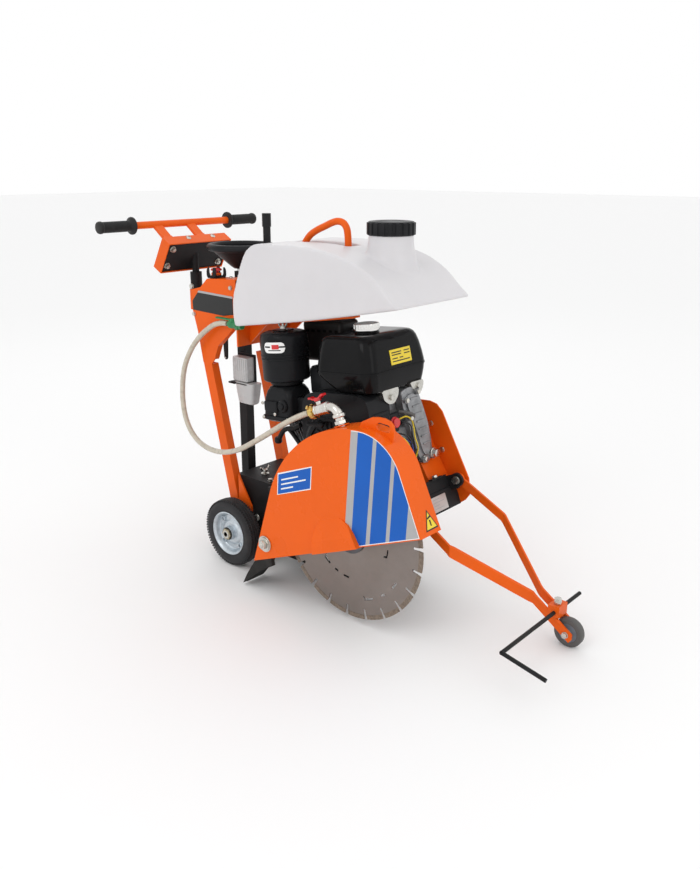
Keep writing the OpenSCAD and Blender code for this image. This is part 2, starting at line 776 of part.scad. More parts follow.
module rim(y0, out) color("#C9D2D8") {
    rim_r = 62;
    disc_y = out > 0 ? y0 + 16 : y0 + tyre_w - 19;
    difference() {
        union() {
            translate([axle_x, y0, axle_z]) rotate([-90, 0, 0]) rotate_extrude($fn = 96)
                polygon([[rim_r - 3, 4], [rim_r, 4], [rim_r, tyre_w - 4], [rim_r - 3, tyre_w - 4]]);
            y_cyl(rim_r - 2, disc_y, disc_y + 3, axle_x, axle_z);
            y_cyl(20, y0 - 3, y0 + tyre_w + 2, axle_x, axle_z);
        }
        y_cyl(axle_r + fit, y0 - 9, y0 + tyre_w + 9, axle_x, axle_z);
    }
}

module rear_tyre_right() tyre(-tyre_y - tyre_w);

module rear_tyre_left() tyre(tyre_y);

module rear_rim_right() rim(-tyre_y - tyre_w, -1);

module rear_rim_left() rim(tyre_y, 1);

module front_wheel(y0) color(black) {
    difference() {
        y_cyl(front_wheel_d / 2, y0, y0 + front_wheel_w, front_x, front_wheel_d / 2);
        y_cyl(front_axle_r + fit, y0 - 1, y0 + front_wheel_w + 1, front_x, front_wheel_d / 2);
    }
}

module front_wheel_right() front_wheel(-front_wheel_y - front_wheel_w);

module front_wheel_left() front_wheel(front_wheel_y);

// ---------- depth setting ----------

module handwheel() color(black) {
    hub_z = 838;
    rim_z = 898;
    difference() {
        translate([column_x, 0, 0]) rotate_extrude($fn = 96) difference() {
            union() {
                translate([handwheel_r, rim_z]) circle(r = 10, $fn = 48);
                polygon([[0, hub_z], [22, hub_z], [30, hub_z + 6], [handwheel_r - 3, rim_z - 8], [handwheel_r - 8, rim_z - 3],
                         [26, hub_z + 18], [20, hub_z + 30], [0, hub_z + 30]]);
            }
            translate([-30, 0]) square([30, 1000]);
        }
        translate([column_x, 0, hub_z - 1]) cylinder(r = screw_r, h = 40, $fn = round_fn);
    }
    translate([column_x + handwheel_r * cos(15), handwheel_r * sin(15), rim_z + 4]) cylinder(r = 5, h = 84, $fn = round_fn);
}

module handwheel_knob() color(black) {
    translate([column_x + handwheel_r * cos(15), handwheel_r * sin(15), 910]) difference() {
        union() {
            cylinder(r = 10.5, h = 82, $fn = round_fn);
            translate([0, 0, 46]) cylinder(r = 12.5, h = 36, $fn = round_fn);
        }
        translate([0, 0, -1]) cylinder(r = 5 + fit, h = 80, $fn = round_fn);
    }
}

// threaded spindle that turns in the head of the column
module depth_screw() color(steel) {
    translate([column_x, 0, 150]) cylinder(r = screw_r, h = 716, $fn = round_fn);
    translate([column_x, 0, 830.1]) cylinder(r = 13, h = 7.8, $fn = round_fn);
}

module lift_rod() color(steel) {
    eye_z = axle_z + tail_u * sin(lift);
    slot_x = axle_x + tail_u * (1 + cos(lift)) / 2;
    pin_r = 6.8;
    difference() {
        union() {
            translate([column_x, 0, eye_z + 14]) cylinder(r = rod_r, h = 250, $fn = round_fn);
            corners([slot_x - 18, -10, eye_z - 15], [slot_x + 18, 10, eye_z + 16]);
        }
        translate([column_x, 0, eye_z + 30]) cylinder(r = screw_r + 1, h = 215, $fn = round_fn);
        translate([column_x, 0, eye_z + 230]) cylinder(r = screw_r + fit, h = 60, $fn = round_fn);
        y_cyl(pin_r, -11, 11, slot_x - 4.2, eye_z);
        y_cyl(pin_r, -11, 11, slot_x + 4.2, eye_z);
        corners([slot_x - 4.2, -11, eye_z - pin_r], [slot_x + 4.2, 11, eye_z + pin_r]);
    }
}

// ---------- pointer ----------

function along(a, b) = (b - a) / norm(b - a);
function mitre(p, i, d) = let (
    a = i > 0 ? along(p[i - 1], p[i]) : along(p[0], p[1]),
    b = i < len(p) - 1 ? along(p[i], p[i + 1]) : a,
    n = [-a.y - b.y, a.x + b.x]) p[i] + n * (2 * d / (n * n));
function ribbon(p, w) = concat(
    [for (i = [0 : len(p) - 1]) mitre(p, i, w / 2)],
    [for (i = [len(p) - 1 : -1 : 0]) mitre(p, i, -w / 2)]);

// a flat bar bent both ways: its side view crossed with its plan view
module bent_bar(p, w, t) {
    intersection() {
        xz_plate(ribbon([for (q = p) [q.x, q.z]], w), -160, 190);
        linear_extrude(400) polygon(ribbon([for (q = p) [q.x, q.y]], t));
    }
}

module pointer_arm() color(orange) {
    near = -100;
    far = 132;
    difference() {
        union() {
            bent_bar([[pointer_pivot.x, near, pointer_pivot.z], [381, near, 236], [532, 47, 106], [641, 47, 29]], 22, 6);
            bent_bar([[pointer_pivot.x, far, pointer_pivot.z], [388, far, 251], [532, 85, 108], [641, 85, 33]], 22, 6);
            for (y = [near, far]) y_cyl(15, y - 5, y + 5, pointer_pivot.x, pointer_pivot.z);
            corners([rod_x - 17, 43.5, rod_z - 12], [rod_x + 13, 86, rod_z + 17]);
        }
        y_cyl(rod_d / 2 + fit, -20, 120, rod_x, rod_z);
        translate([rod_x, clamp_y, rod_z]) cylinder(r = 4.05, h = 40, $fn = round_fn);
        y_cyl(6.05, near - 20, near + 20, pointer_pivot.x, pointer_pivot.z);
        y_cyl(6.05, far - 20, far + 20, pointer_pivot.x, pointer_pivot.z);
    }
    y_cyl(4.95, pointer_wheel_at.y - 18, pointer_wheel_at.y + 18, pointer_wheel_at.x, pointer_wheel_at.z);
}

module pointer_wheel() color(grey) {
    difference() {
        y_cyl(37.5, 56, 76, pointer_wheel_at.x, pointer_wheel_at.z);
        y_cyl(5, 55, 77, pointer_wheel_at.x, pointer_wheel_at.z);
    }
}

module pointer_rod() color(black) {
    tip = [704, blade_y, 62];
    y_cyl(rod_d / 2, blade_y, 178, rod_x, rod_z);
    translate([rod_x, blade_y, rod_z]) sphere(r = rod_d / 2 + 0.4, $fn = round_fn);
    rod([rod_x, blade_y, rod_z], tip, rod_d / 2);
}

module pointer_clamp() color(steel) {
    translate([rod_x, clamp_y, rod_z + rod_d / 2 + 0.2]) cylinder(r = 4, h = 20, $fn = round_fn);
    translate([rod_x, clamp_y, rod_z + 21]) cylinder(r = 9, h = 13, $fn = round_fn);
}

// ---------- controls ----------

module stop_button() color("red") {
    translate([-440, -88, 0]) {
        translate([0, 0, 826]) cylinder(r = 7, h = 8, $fn = round_fn);
        translate([0, 0, 837]) cylinder(r = 11, h = 8, $fn = round_fn);
        translate([0, 0, 832]) cylinder(r = 7, h = 6, $fn = round_fn);
    }
}

module throttle_lever() color(black) {
    difference() {
        union() {
            y_cyl(10, -57, -52, -452, 640);
            corners([-457, -57, 583], [-447, -52, 640]);
            y_cyl(7, -57, -52, -452, 583);
        }
        y_cyl(2.5, -60, -50, -452, 583);
    }
}

undercarriage();
rear_axle();
front_axle();
leg_right();
leg_left();
console();
depth_column();
handlebar_post();
handlebar_tray();
handlebar();
handlebar_grips();
water_tank();
tank_cradle();
tank_handle();
water_tap();
water_hose();
tool_box();
chassis_frame();
engine_bed();
engine_block();
recoil_cover();
fuel_tank();
air_cleaner();
muffler();
belt_cover();
belt_backplate();
drive_belt();
spindle_housing();
guard_bolt();
blade_guard();
guard_flap();
water_elbow();
ball_valve();
blade_core();
blade_segments();
blade_clamp();
blade_spindle();
spindle_pulley();
crankshaft();
engine_pulley();
rear_tyre_right();
rear_tyre_left();
rear_rim_right();
rear_rim_left();
front_wheel_right();
front_wheel_left();
handwheel();
handwheel_knob();
depth_screw();
lift_rod();
pointer_arm();
pointer_wheel();
pointer_rod();
pointer_clamp();
tank_cap();
fuel_cap();
valve_lever();
tap_lever();
stop_button();
throttle_lever();
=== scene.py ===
import math
import bpy
import bmesh
from mathutils import Matrix, Vector


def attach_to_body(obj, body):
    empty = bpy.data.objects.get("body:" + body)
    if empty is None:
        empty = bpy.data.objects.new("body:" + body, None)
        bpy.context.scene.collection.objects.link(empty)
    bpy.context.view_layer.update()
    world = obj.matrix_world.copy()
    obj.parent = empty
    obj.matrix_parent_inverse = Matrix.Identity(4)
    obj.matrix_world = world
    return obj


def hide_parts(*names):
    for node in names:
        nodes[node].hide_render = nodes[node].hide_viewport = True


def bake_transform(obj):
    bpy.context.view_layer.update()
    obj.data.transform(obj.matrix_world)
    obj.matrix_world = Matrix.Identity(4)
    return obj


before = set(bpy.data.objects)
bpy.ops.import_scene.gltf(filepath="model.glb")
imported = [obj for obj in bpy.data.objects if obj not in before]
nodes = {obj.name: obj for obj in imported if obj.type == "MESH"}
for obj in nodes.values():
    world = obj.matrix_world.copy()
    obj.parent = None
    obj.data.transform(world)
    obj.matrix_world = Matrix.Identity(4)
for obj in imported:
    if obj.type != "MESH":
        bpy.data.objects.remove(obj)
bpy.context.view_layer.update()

rad = math.radians


# ---------------------------------------------------------------- frames
# in metres and degrees: the whole row, then the chassis, the engine bed, the handlebar tray and the spindle
MM = Matrix.Scale(0.001, 4)
CHASSIS_TILT, BED_TILT, TRAY_TILT = -22, 17, 30
ROW = Matrix.Identity(4)
CH = Matrix.Translation((-0.337, 0, 0.1)) @ Matrix.Rotation(rad(CHASSIS_TILT), 4, "Y")
EN = CH @ Matrix.Translation((0.429, 0, 0.0202)) @ Matrix.Rotation(rad(BED_TILT), 4, "Y")
TRAY = Matrix.Translation((-0.636, 0, 0.920)) @ Matrix.Rotation(rad(TRAY_TILT), 4, "Y")
SPIN = CH @ Matrix.Translation((0.503, 0, -0.047))


# ---------------------------------------------------------------- camera, stage and light
CAMERA_AT = (1.452, -1.702, 1.124)
CAMERA_ROUND, CAMERA_DOWN = 40.9, 17.3
SENSOR, LENS = 36, 36.083
FLOOR = 30


def camera():
    cam = bpy.data.objects.new("camera", bpy.data.cameras.new("camera"))
    bpy.context.collection.objects.link(cam)
    a, e = rad(CAMERA_ROUND), rad(CAMERA_DOWN)
    back = Vector((math.sin(a) * math.cos(e), -math.cos(a) * math.cos(e), math.sin(e)))
    right = Vector((math.cos(a), math.sin(a), 0))
    m = Matrix((right, back.cross(right), back)).transposed().to_4x4()
    m.translation = Vector(CAMERA_AT)
    cam.matrix_world = m
    cam.data.sensor_width = SENSOR
    cam.data.lens = LENS
    cam.data.clip_end = 2 * FLOOR
    bpy.context.scene.camera = cam


def light(name, where, at, size, power):
    lamp = bpy.data.lights.new(name, "AREA")
    lamp.shape = "RECTANGLE"
    lamp.size, lamp.size_y = size
    lamp.energy = power
    o = bpy.data.objects.new(name, lamp)
    o.location = where
    o.rotation_euler = (Vector(at) - Vector(where)).to_track_quat("-Z", "Y").to_euler()
    bpy.context.collection.objects.link(o)


def stage():
    world = bpy.data.worlds.new("studio")
    world.use_nodes = True
    sky = world.node_tree.nodes["Background"]
    sky.inputs["Color"].default_value = (1, 1, 1, 1)
    sky.inputs["Strength"].default_value = 1.0
    bpy.context.scene.world = world
    mesh = bpy.data.meshes.new("floor")
    mesh.from_pydata([(x * FLOOR, y * FLOOR, 0) for x, y in ((-1, -1), (1, -1), (1, 1), (-1, 1))], [],
            [(0, 1, 2, 3)])
    mesh.materials.append(finish("floor", (0.93, 0.93, 0.93), 0.7, spread=0.0, bump=0))
    floor = bpy.data.objects.new("floor", mesh)
    bpy.context.collection.objects.link(floor)
    light("key", (0.2, -3.4, 3.0), (0, 0, 0.45), (1.6, 1.6), 17)
    light("side", (3.2, -0.6, 2.2), (0, 0, 0.5), (1.2, 2.4), 8)
    light("back", (-2.6, 2.2, 2.6), (0, 0, 0.5), (2.0, 2.0), 5)
    bpy.context.scene.view_settings.view_transform = "Standard"


# ---------------------------------------------------------------- materials
def finish(name, colour, rough, metal=0.0, scale=40, spread=0.08, bump=0.1, grain=None, coat=0.0, vary=0.08,
           stretch=(1, 1, 1), dirt=0.0, grime=(0, 0, 0), sheen=0.0, sub=0.0, depth=0.0004, spec=0.5):
    """A surface with uneven colour, roughness and relief, all from noise in the object's own space."""
    m = bpy.data.materials.new(name)
    m.use_nodes = True
    tree = m.node_tree
    link = tree.links.new
    shader = tree.nodes["Principled BSDF"]

    def node(kind, **values):
        n = tree.nodes.new("ShaderNode" + kind)
        for key, value in values.items():
            n.inputs[key.replace("_", " ")].default_value = value
        return n

    def noise(scale, detail, rough=0.5):
        n = node("TexNoise", Scale=scale, Detail=detail, Roughness=rough)
        link(placed.outputs["Vector"], n.inputs["Vector"])
        return n

    def ramp(source, *stops):
        n = node("ValToRGB")
        for i, (where, shade) in enumerate(stops):
            n.color_ramp.elements[i].position = where
            n.color_ramp.elements[i].color = (*shade, 1)
        link(source.outputs["Fac"], n.inputs["Fac"])
        return n.outputs["Color"]

    for key, value in (("Metallic", metal), ("Specular IOR Level", spec), ("Coat Weight", coat),
            ("Coat Roughness", 0.06), ("Sheen Weight", sheen)):
        shader.inputs[key].default_value = value
    if sub:
        shader.inputs["Subsurface Weight"].default_value = sub
        shader.inputs["Subsurface Radius"].default_value = (0.03, 0.028, 0.025)
    placed = node("Mapping", Scale=stretch)
    link(node("TexCoord").outputs["Object"], placed.inputs["Vector"])
    clouds = noise(scale, 6, 0.6)
    out = ramp(clouds, (0.32, [max(0.0, c * (1 - spread)) for c in colour]), (0.68, [min(1.0,
            c * (1 + spread)) for c in colour]))
    if dirt:
        mix = node("Mix")
        mix.data_type = "RGBA"
        mix.inputs["B"].default_value = (*grime, 1)
        link(ramp(noise(scale * 0.35, 8), (0.5, (0, 0, 0)), (0.72, (dirt, dirt, dirt))), mix.inputs["Factor"])
        link(out, mix.inputs["A"])
        out = mix.outputs["Result"]
    link(out, shader.inputs["Base Color"])
    worn = node("MapRange", From_Min=0.3, From_Max=0.7, To_Min=max(0.02, rough - vary),
            To_Max=min(1.0, rough + vary))
    link(clouds.outputs["Fac"], worn.inputs["Value"])
    link(worn.outputs["Result"], shader.inputs["Roughness"])
    if bump:
        relief = node("Bump", Strength=bump, Distance=depth)
        link(noise(grain or scale * 8, 3).outputs["Fac"], relief.inputs["Height"])
        link(relief.outputs["Normal"], shader.inputs["Normal"])
    return m


def ground_in_circles(material, axis, amount):
    """Fine marks round an axis, so that the gleam of the surface runs along its radius."""
    tree = material.node_tree
    shader = tree.nodes["Principled BSDF"]
    radial = tree.nodes.new("ShaderNodeTangent")
    radial.direction_type = "RADIAL"
    radial.axis = axis
    shader.inputs["Anisotropic"].default_value = amount
    tree.links.new(radial.outputs["Tangent"], shader.inputs["Tangent"])


def make_materials():
    f = finish
    return {
        "orange": f("orange_powder_coat", (0.80, 0.112, 0.006), 0.34, scale=9, spread=0.05, bump=0.16,
            grain=420,
            coat=0.04, vary=0.05, dirt=0.10, grime=(0.45, 0.10, 0.03), spec=0.14),
        "guard": f("orange_gloss_paint", (0.82, 0.118, 0.006), 0.28, scale=7, spread=0.03, bump=0.12,
            grain=300,
            coat=0.05, vary=0.05, dirt=0.05, grime=(0.5, 0.10, 0.02), spec=0.14),
        "black": f("black_powder_coat", (0.018, 0.018, 0.019), 0.42, scale=14, spread=0.25, bump=0.25,
            grain=500,
            dirt=0.25, grime=(0.06, 0.052, 0.046), spec=0.10),
        "zinc": f("zinc_plate", (0.60, 0.59, 0.55), 0.30, metal=1, scale=60, spread=0.14, bump=0.12, dirt=0.3,
            grime=(0.30, 0.28, 0.22)),
        "brown_zinc": f("yellow_passivated_zinc", (0.46, 0.40, 0.28), 0.38, metal=1, scale=60, spread=0.16,
            bump=0.15,
            dirt=0.35, grime=(0.22, 0.17, 0.10)),
        "rod": f("bright_steel", (0.55, 0.55, 0.54), 0.26, metal=1, scale=30, spread=0.1,
            stretch=(1, 1, 0.1), bump=0.08),
        "blade": f("ground_steel", (0.27, 0.235, 0.215), 0.40, metal=1, scale=22, spread=0.08,
            bump=0.05, grain=260, dirt=0.25, grime=(0.22, 0.185, 0.16)),
        "segment": f("sintered_segment", (0.24, 0.19, 0.15), 0.62, metal=0.7, scale=200, spread=0.35,
            bump=0.6,
            grain=1400),
        "cast": f("cast_iron", (0.13, 0.13, 0.14), 0.6, metal=0.6, scale=80, spread=0.25, bump=0.5,
            grain=500),
        "alloy": f("cast_aluminium", (0.30, 0.305, 0.315), 0.46, metal=0.85, scale=60, spread=0.22, bump=0.5,
            grain=650, dirt=0.45, grime=(0.10, 0.10, 0.10)),
        "chrome": f("chrome", (0.80, 0.79, 0.77), 0.10, metal=1, scale=20, spread=0.05, bump=0.02, vary=0.04),
        "nickel": f("nickel_plate", (0.66, 0.64, 0.60), 0.24, metal=1, scale=45, spread=0.12, bump=0.12,
            dirt=0.2,
            grime=(0.4, 0.36, 0.28)),
        "brass": f("brass", (0.70, 0.50, 0.17), 0.24, metal=1, scale=50, spread=0.14, bump=0.12, dirt=0.25,
            grime=(0.38, 0.26, 0.10)),
        "tank_black": f("black_gloss_enamel", (0.006, 0.006, 0.0065), 0.14, scale=8, spread=0.3, bump=0.05,
            grain=90, coat=0.08, vary=0.03, spec=0.08),
        "plastic": f("black_moulded_plastic", (0.017, 0.0175, 0.019), 0.38, scale=25, spread=0.2, bump=0.3,
            grain=900, dirt=0.15, grime=(0.04, 0.04, 0.04), spec=0.12),
        "filter": f("black_satin_plastic", (0.012, 0.0125, 0.014), 0.30, scale=16, spread=0.2, bump=0.14,
            grain=500, dirt=0.1, grime=(0.03, 0.03, 0.03), spec=0.12),
        "shield": f("heat_shield_enamel", (0.013, 0.012, 0.012), 0.36, scale=20, spread=0.3, bump=0.2,
            dirt=0.2,
            grime=(0.06, 0.045, 0.035), spec=0.22),
        "poly": f("natural_polyethylene", (0.66, 0.645, 0.66), 0.40, scale=5, spread=0.03, bump=0.2, grain=60,
            sub=0.35, vary=0.06, dirt=0.06, grime=(0.62, 0.55, 0.46), depth=0.001),
        "grey": f("grey_moulded_plastic", (0.36, 0.37, 0.38), 0.42, scale=30, spread=0.06, bump=0.25,
            grain=700),
        "cup": f("milky_plastic", (0.50, 0.50, 0.50), 0.25, scale=14, spread=0.05, bump=0.1, sub=0.2),
        "green": f("green_plastic", (0.012, 0.20, 0.06), 0.36, scale=40, spread=0.15, bump=0.2),
        "red": f("red_coated_steel", (0.60, 0.012, 0.015), 0.30, scale=40, spread=0.10, bump=0.2, coat=0.3),
        "hose": f("clear_pvc_hose", (0.52, 0.47, 0.38), 0.30, scale=60, spread=0.10, bump=0.15, sub=0.15,
            coat=0.3),
        "rubber": f("black_rubber", (0.018, 0.018, 0.018), 0.62, scale=50, spread=0.25, bump=0.4, grain=900,
            sheen=0.15, spec=0.2),
        "mat_rubber": f("worn_rubber", (0.022, 0.021, 0.020), 0.72, scale=30, spread=0.3, bump=0.5, grain=600,
            dirt=0.4, grime=(0.09, 0.08, 0.07), spec=0.2),
        "grey_rubber": f("grey_rubber", (0.085, 0.082, 0.080), 0.6, scale=40, spread=0.12, bump=0.3, dirt=0.3,
            grime=(0.15, 0.14, 0.125)),
        "hub_grey": f("blue_grey_plastic", (0.17, 0.20, 0.235), 0.45, scale=40, spread=0.1, bump=0.2),
        "tyre": f("tyre_rubber", (0.030, 0.030, 0.032), 0.66, scale=45, spread=0.2, bump=0.35, grain=800,
            sheen=0.1, dirt=0.25, grime=(0.075, 0.068, 0.062), spec=0.12),
        "rim": f("galvanised_rim", (0.55, 0.60, 0.64), 0.36, metal=0.9, scale=90, spread=0.16, bump=0.15,
            dirt=0.2,
            grime=(0.38, 0.42, 0.45)),
        "blue": f("blue_vinyl", (0.008, 0.105, 0.46), 0.34, scale=10, spread=0.05, bump=0.05, coat=0.08,
            spec=0.15),
        "stripe_grey": f("grey_vinyl", (0.40, 0.40, 0.405), 0.36, scale=10, spread=0.04, bump=0.05, coat=0.1,
            spec=0.15),
        "white": f("white_vinyl", (0.85, 0.85, 0.84), 0.35, scale=10, spread=0.03, bump=0.05, coat=0.3),
        "yellow": f("yellow_vinyl", (0.80, 0.60, 0.010), 0.36, scale=10, spread=0.04, bump=0.05, coat=0.3),
        "label_black": f("black_vinyl", (0.008, 0.008, 0.008), 0.3, scale=10, spread=0.2, bump=0.05,
            coat=0.3, spec=0.25),
        "plate": f("rating_plate", (0.55, 0.52, 0.50), 0.35, metal=0.5, scale=30, spread=0.06, bump=0.05),
        # painted shade: a near-black finish for patches that stand in for the dark inside of openings
        "painted_shade": f("painted_slot_shade", (0.004, 0.004, 0.004), 0.9, scale=30, spread=0.2, bump=0, spec=0.05),
        "wire_yellow": f("yellow_wire", (0.75, 0.55, 0.02), 0.4, scale=60, spread=0.1, bump=0.1),
        "wire_black": f("black_wire", (0.01, 0.01, 0.011), 0.45, scale=60, spread=0.2, bump=0.1),
        "wire_blue": f("blue_wire", (0.02, 0.03, 0.25), 0.4, scale=60, spread=0.1, bump=0.1),
    }


# ---------------------------------------------------------------- places and outlines
def spot(where, axis="Z", turn=0):
    """A frame at a point, turned by some degrees about one axis."""
    return Matrix.Translation(where) @ turned(axis, turn)


def turned(axis, turn):
    return Matrix.Rotation(rad(turn), 4, axis)


def facing(where, way):
    """A frame at a point with its Z along a direction."""
    return Matrix.Translation(where) @ Vector(way).to_track_quat("Z", "Y").to_matrix().to_4x4()


def polar(r, turn, x=0.0, z=0.0):
    return (x + r * math.cos(rad(turn)), z + r * math.sin(rad(turn)))


def arc(x, z, r, start, end, n):
    return [polar(r, start + (end - start) * i / n, x, z) for i in range(n + 1)]


# ---------------------------------------------------------------- meshes and objects, in millimetres
def put(name, mesh, mat=None, smooth=True, sharp=None):
    """Adds a mesh to the scene; an edge that turns by more than sharp degrees stays sharp."""
    mesh.name = name
    for p in mesh.polygons:
        p.use_smooth = smooth
    if sharp:
        mesh.set_sharp_from_angle(angle=rad(sharp))
    mesh.materials.clear()
    if mat:
        mesh.materials.append(MATS[mat])
    o = bpy.data.objects.new(name, mesh)
    bpy.context.collection.objects.link(o)
    return o


def attach(o, body, stand_for=()):
    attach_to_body(o, body)
    if stand_for:
        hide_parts(*stand_for)


def boolean(base, tool, how, overlaps=False):
    mod = base.modifiers.new(how, "BOOLEAN")
    mod.operation = how
    mod.solver = "EXACT"
    mod.use_self = overlaps
    mod.object = tool


def baked(base, tools):
    """The mesh that an object's modifiers make; the object and its tools are removed."""
    bpy.context.view_layer.update()
    mesh = bpy.data.meshes.new_from_object(base.evaluated_get(bpy.context.evaluated_depsgraph_get()))
    for o in [base] + tools:
        bpy.data.objects.remove(o)
    return mesh


def soften(bm, edges, r, seg):
    bmesh.ops.bevel(bm, geom=edges, offset=r, segments=seg, profile=0.5, affect="EDGES", clamp_overlap=True)


def skin(bm, rings):
    """Joins rings of points, each to the next, and closes both ends."""
    for a, b in zip(rings, rings[1:]):
        n = len(a)
        for k in range(n):
            bm.faces.new((a[k], a[(k + 1) % n], b[(k + 1) % n], b[k]))
    bm.faces.new(rings[0][::-1])
    bm.faces.new(rings[-1])


class Build:
    """Collects solids in one mesh, in the frame it is given; each method adds one and returns the Build."""

    def __init__(self, m=ROW):
        self.bm = bmesh.new()
        self.m = m @ MM

    def take(self, bm, local=None):
        bm.transform(self.m if local is None else self.m @ local)
        bmesh.ops.recalc_face_normals(bm, faces=bm.faces)
        mesh = bpy.data.meshes.new("solid")
        bm.to_mesh(mesh)
        bm.free()
        self.bm.from_mesh(mesh)
        bpy.data.meshes.remove(mesh)
        return self

    def box(self, lo, hi, r=0.0, seg=2, local=None):
        bm = bmesh.new()
        bmesh.ops.create_cube(bm, size=1)
        lo, hi = Vector(lo), Vector(hi)
        bm.transform(Matrix.Translation((lo + hi) / 2) @ Matrix.Diagonal((*(hi - lo), 1)))
        if r:
            soften(bm, bm.edges[:], r, seg)
        return self.take(bm, local)

    def prism(self, pts, y0, y1, r=0.0, seg=2, local=None):
        """An outline in X and Z, from y0 to y1, with the edges between the two ends rounded by r."""
        bm = bmesh.new()
        skin(bm, [[bm.verts.new((x, y, z)) for x, z in pts] for y in (y0, y1)])
        if r:
            soften(bm, [e for e in bm.edges if abs(e.verts[0].co.y - e.verts[1].co.y) < 1e-6], r, seg)
        return self.take(bm, local)

    def lathe(self, profile, n=48, local=None, turn=0.0):
        """(radius, z) points turned about Z; the ends close on the axis where the radius is 0."""
        bm = bmesh.new()
        angles = [2 * math.pi * k / n + turn for k in range(n)]
        rings = [[bm.verts.new((r * math.cos(a), r * math.sin(a),
                z)) for a in (angles if r > 1e-6 else [0])] for r, z in profile]
        for a, b in zip(rings, rings[1:]):
            for k in range(n):
                k2 = (k + 1) % n
                if len(a) == 1:
                    bm.faces.new((a[0], b[k], b[k2]))
                elif len(b) == 1:
                    bm.faces.new((a[k], a[k2], b[0]))
                else:
                    bm.faces.new((a[k], a[k2], b[k2], b[k]))
        return self.take(bm, local)

    def rod(self, p, q, r, n=24, bevel=0.0):
        run = Vector(q) - Vector(p)
        h = run.length
        wall = [(r - bevel, 0), (r, bevel), (r, h - bevel), (r - bevel, h)] if bevel else [(r, 0), (r, h)]
        return self.lathe([(0, 0), *wall, (0, h)], n, facing(p, run))

    def tube(self, path, r, n):
        """A round bar along a path, turned as little as possible on its way."""
        path = [Vector(p) for p in path]
        bm = bmesh.new()
        rings = []
        side = None
        for i, p in enumerate(path):
            ahead = (path[min(i + 1, len(path) - 1)] - path[max(i - 1, 0)]).normalized()
            side = (ahead.orthogonal() if side is None else side - ahead * side.dot(ahead)).normalized()
            up = ahead.cross(side)
            turns = [2 * math.pi * k / n for k in range(n)]
            rings.append([bm.verts.new(p + r * (math.cos(t) * side + math.sin(t) * up)) for t in turns])
        skin(bm, rings)
        return self.take(bm)

    def loft(self, rings, n=6, local=None):
        """Joins rounded rectangles (x0, y0, x1, y1, corner, z) from the bottom one to the top one."""
        bm = bmesh.new()
        loops = []
        for x0, y0, x1, y1, r, z in rings:
            corners = ((x1 - r, y1 - r, 0), (x0 + r, y1 - r, 90), (x0 + r, y0 + r, 180),
                    (x1 - r, y0 + r, 270))
            loops.append([bm.verts.new((*p, z)) for x, y, a in corners for p in arc(x, y, r, a, a + 90, n)])
        skin(bm, loops)
        return self.take(bm, local)

    def patch(self, r, az, z, w, h, corner, at, lift, n=24):
        """A thin label with rounded corners, wrapped round an upright cylinder of radius r at az degrees."""
        bm = bmesh.new()
        cols = []
        for i in range(n + 1):
            s = -w / 2 + w * i / n
            over = max(0.0, abs(s) - (w / 2 - corner))
            t = h / 2 - corner + math.sqrt(max(0.0, corner * corner - over * over))
            a = rad(az) + s / r
            cols.append([bm.verts.new((q * math.cos(a), q * math.sin(a), y)) for q, y in ((r - 0.5, z - t),
                    (r + lift, z - t), (r + lift, z + t), (r - 0.5, z + t))])
        skin(bm, cols)
        bmesh.ops.remove_doubles(bm, verts=bm.verts[:], dist=1e-5)
        return self.take(bm, at)

    def nut(self, p, axis, flats, h, r=0.8, turn=0.0):
        """A hexagon with chamfered corners; flats is the distance across its flats."""
        R = flats / math.sqrt(3)
        chamfered = [(0, 0), (R - r, 0), (R, r * 0.6), (R, h - r * 0.6), (R - r, h), (0, h)]
        return self.lathe(chamfered, 6, facing(p, axis), turn)

    def bolt(self, p, axis, d=8):
        """A hexagon bolt head on its washer, on a surface at p."""
        p, up = Vector(p), Vector(axis).normalized() * 1.4
        return self.rod(p, p + up, d, 28, 0.3).nut(p + up, up, d * 1.65, d * 0.62, 0.7)

    def button(self, p, axis, d):
        """A domed socket screw."""
        dome = ((1, 0), (0.97, 0.18), (0.8, 0.38), (0.5, 0.5), (0.38, 0.5), (0.36, 0.2), (0, 0.2))
        return self.lathe([(d * r, d * z) for r, z in dome], 28, facing(p, axis))

    def mesh(self):
        mesh = bpy.data.meshes.new("solids")
        self.bm.to_mesh(mesh)
        self.bm.free()
        return mesh

    def done(self, name, mat, body, slot=None, angle=38, stand_for=()):
        """Makes the piece, with smooth faces between the edges that turn by more than angle degrees."""
        o = put(name, self.mesh(), mat, sharp=angle)
        o.modifiers.new("normals", "WEIGHTED_NORMAL").keep_sharp = True
        attach(o, body, stand_for)


def smooth_path(pts, per=6):
    """A Catmull-Rom curve through the points."""
    p = [Vector(v) for v in pts]
    out = []
    for i in range(len(p) - 1):
        a = p[i - 1] if i > 0 else p[i] * 2 - p[i + 1]
        d = p[i + 2] if i + 2 < len(p) else p[i + 1] * 2 - p[i]
        b, c = p[i], p[i + 1]
        for k in range(per):
            t = k / per
            bend, twist = 2 * a - 5 * b + 4 * c - d, 3 * b - a - 3 * c + d
            out.append(0.5 * (2 * b + (c - a) * t + bend * t ** 2 + twist * t ** 3))
    out.append(p[-1])
    return out


def filleted(pts, r, n=5):
    """A closed outline with its corners rounded; r is one radius or one for each corner."""
    out = []
    m = len(pts)
    for i in range(m):
        a, v, b = Vector(pts[i - 1]), Vector(pts[i]), Vector(pts[(i + 1) % m])
        ri = r[i] if isinstance(r, (list, tuple)) else r
        da, db = (a - v), (b - v)
        k = min(ri, da.length * 0.45, db.length * 0.45)
        p, q = v + da.normalized() * k, v + db.normalized() * k
        if ri <= 0:
            out.append(v)
            continue
        for j in range(n + 1):
            t = j / n
            out.append(p * (1 - t) ** 2 + v * 2 * t * (1 - t) + q * t ** 2)
    return [tuple(v) for v in out]


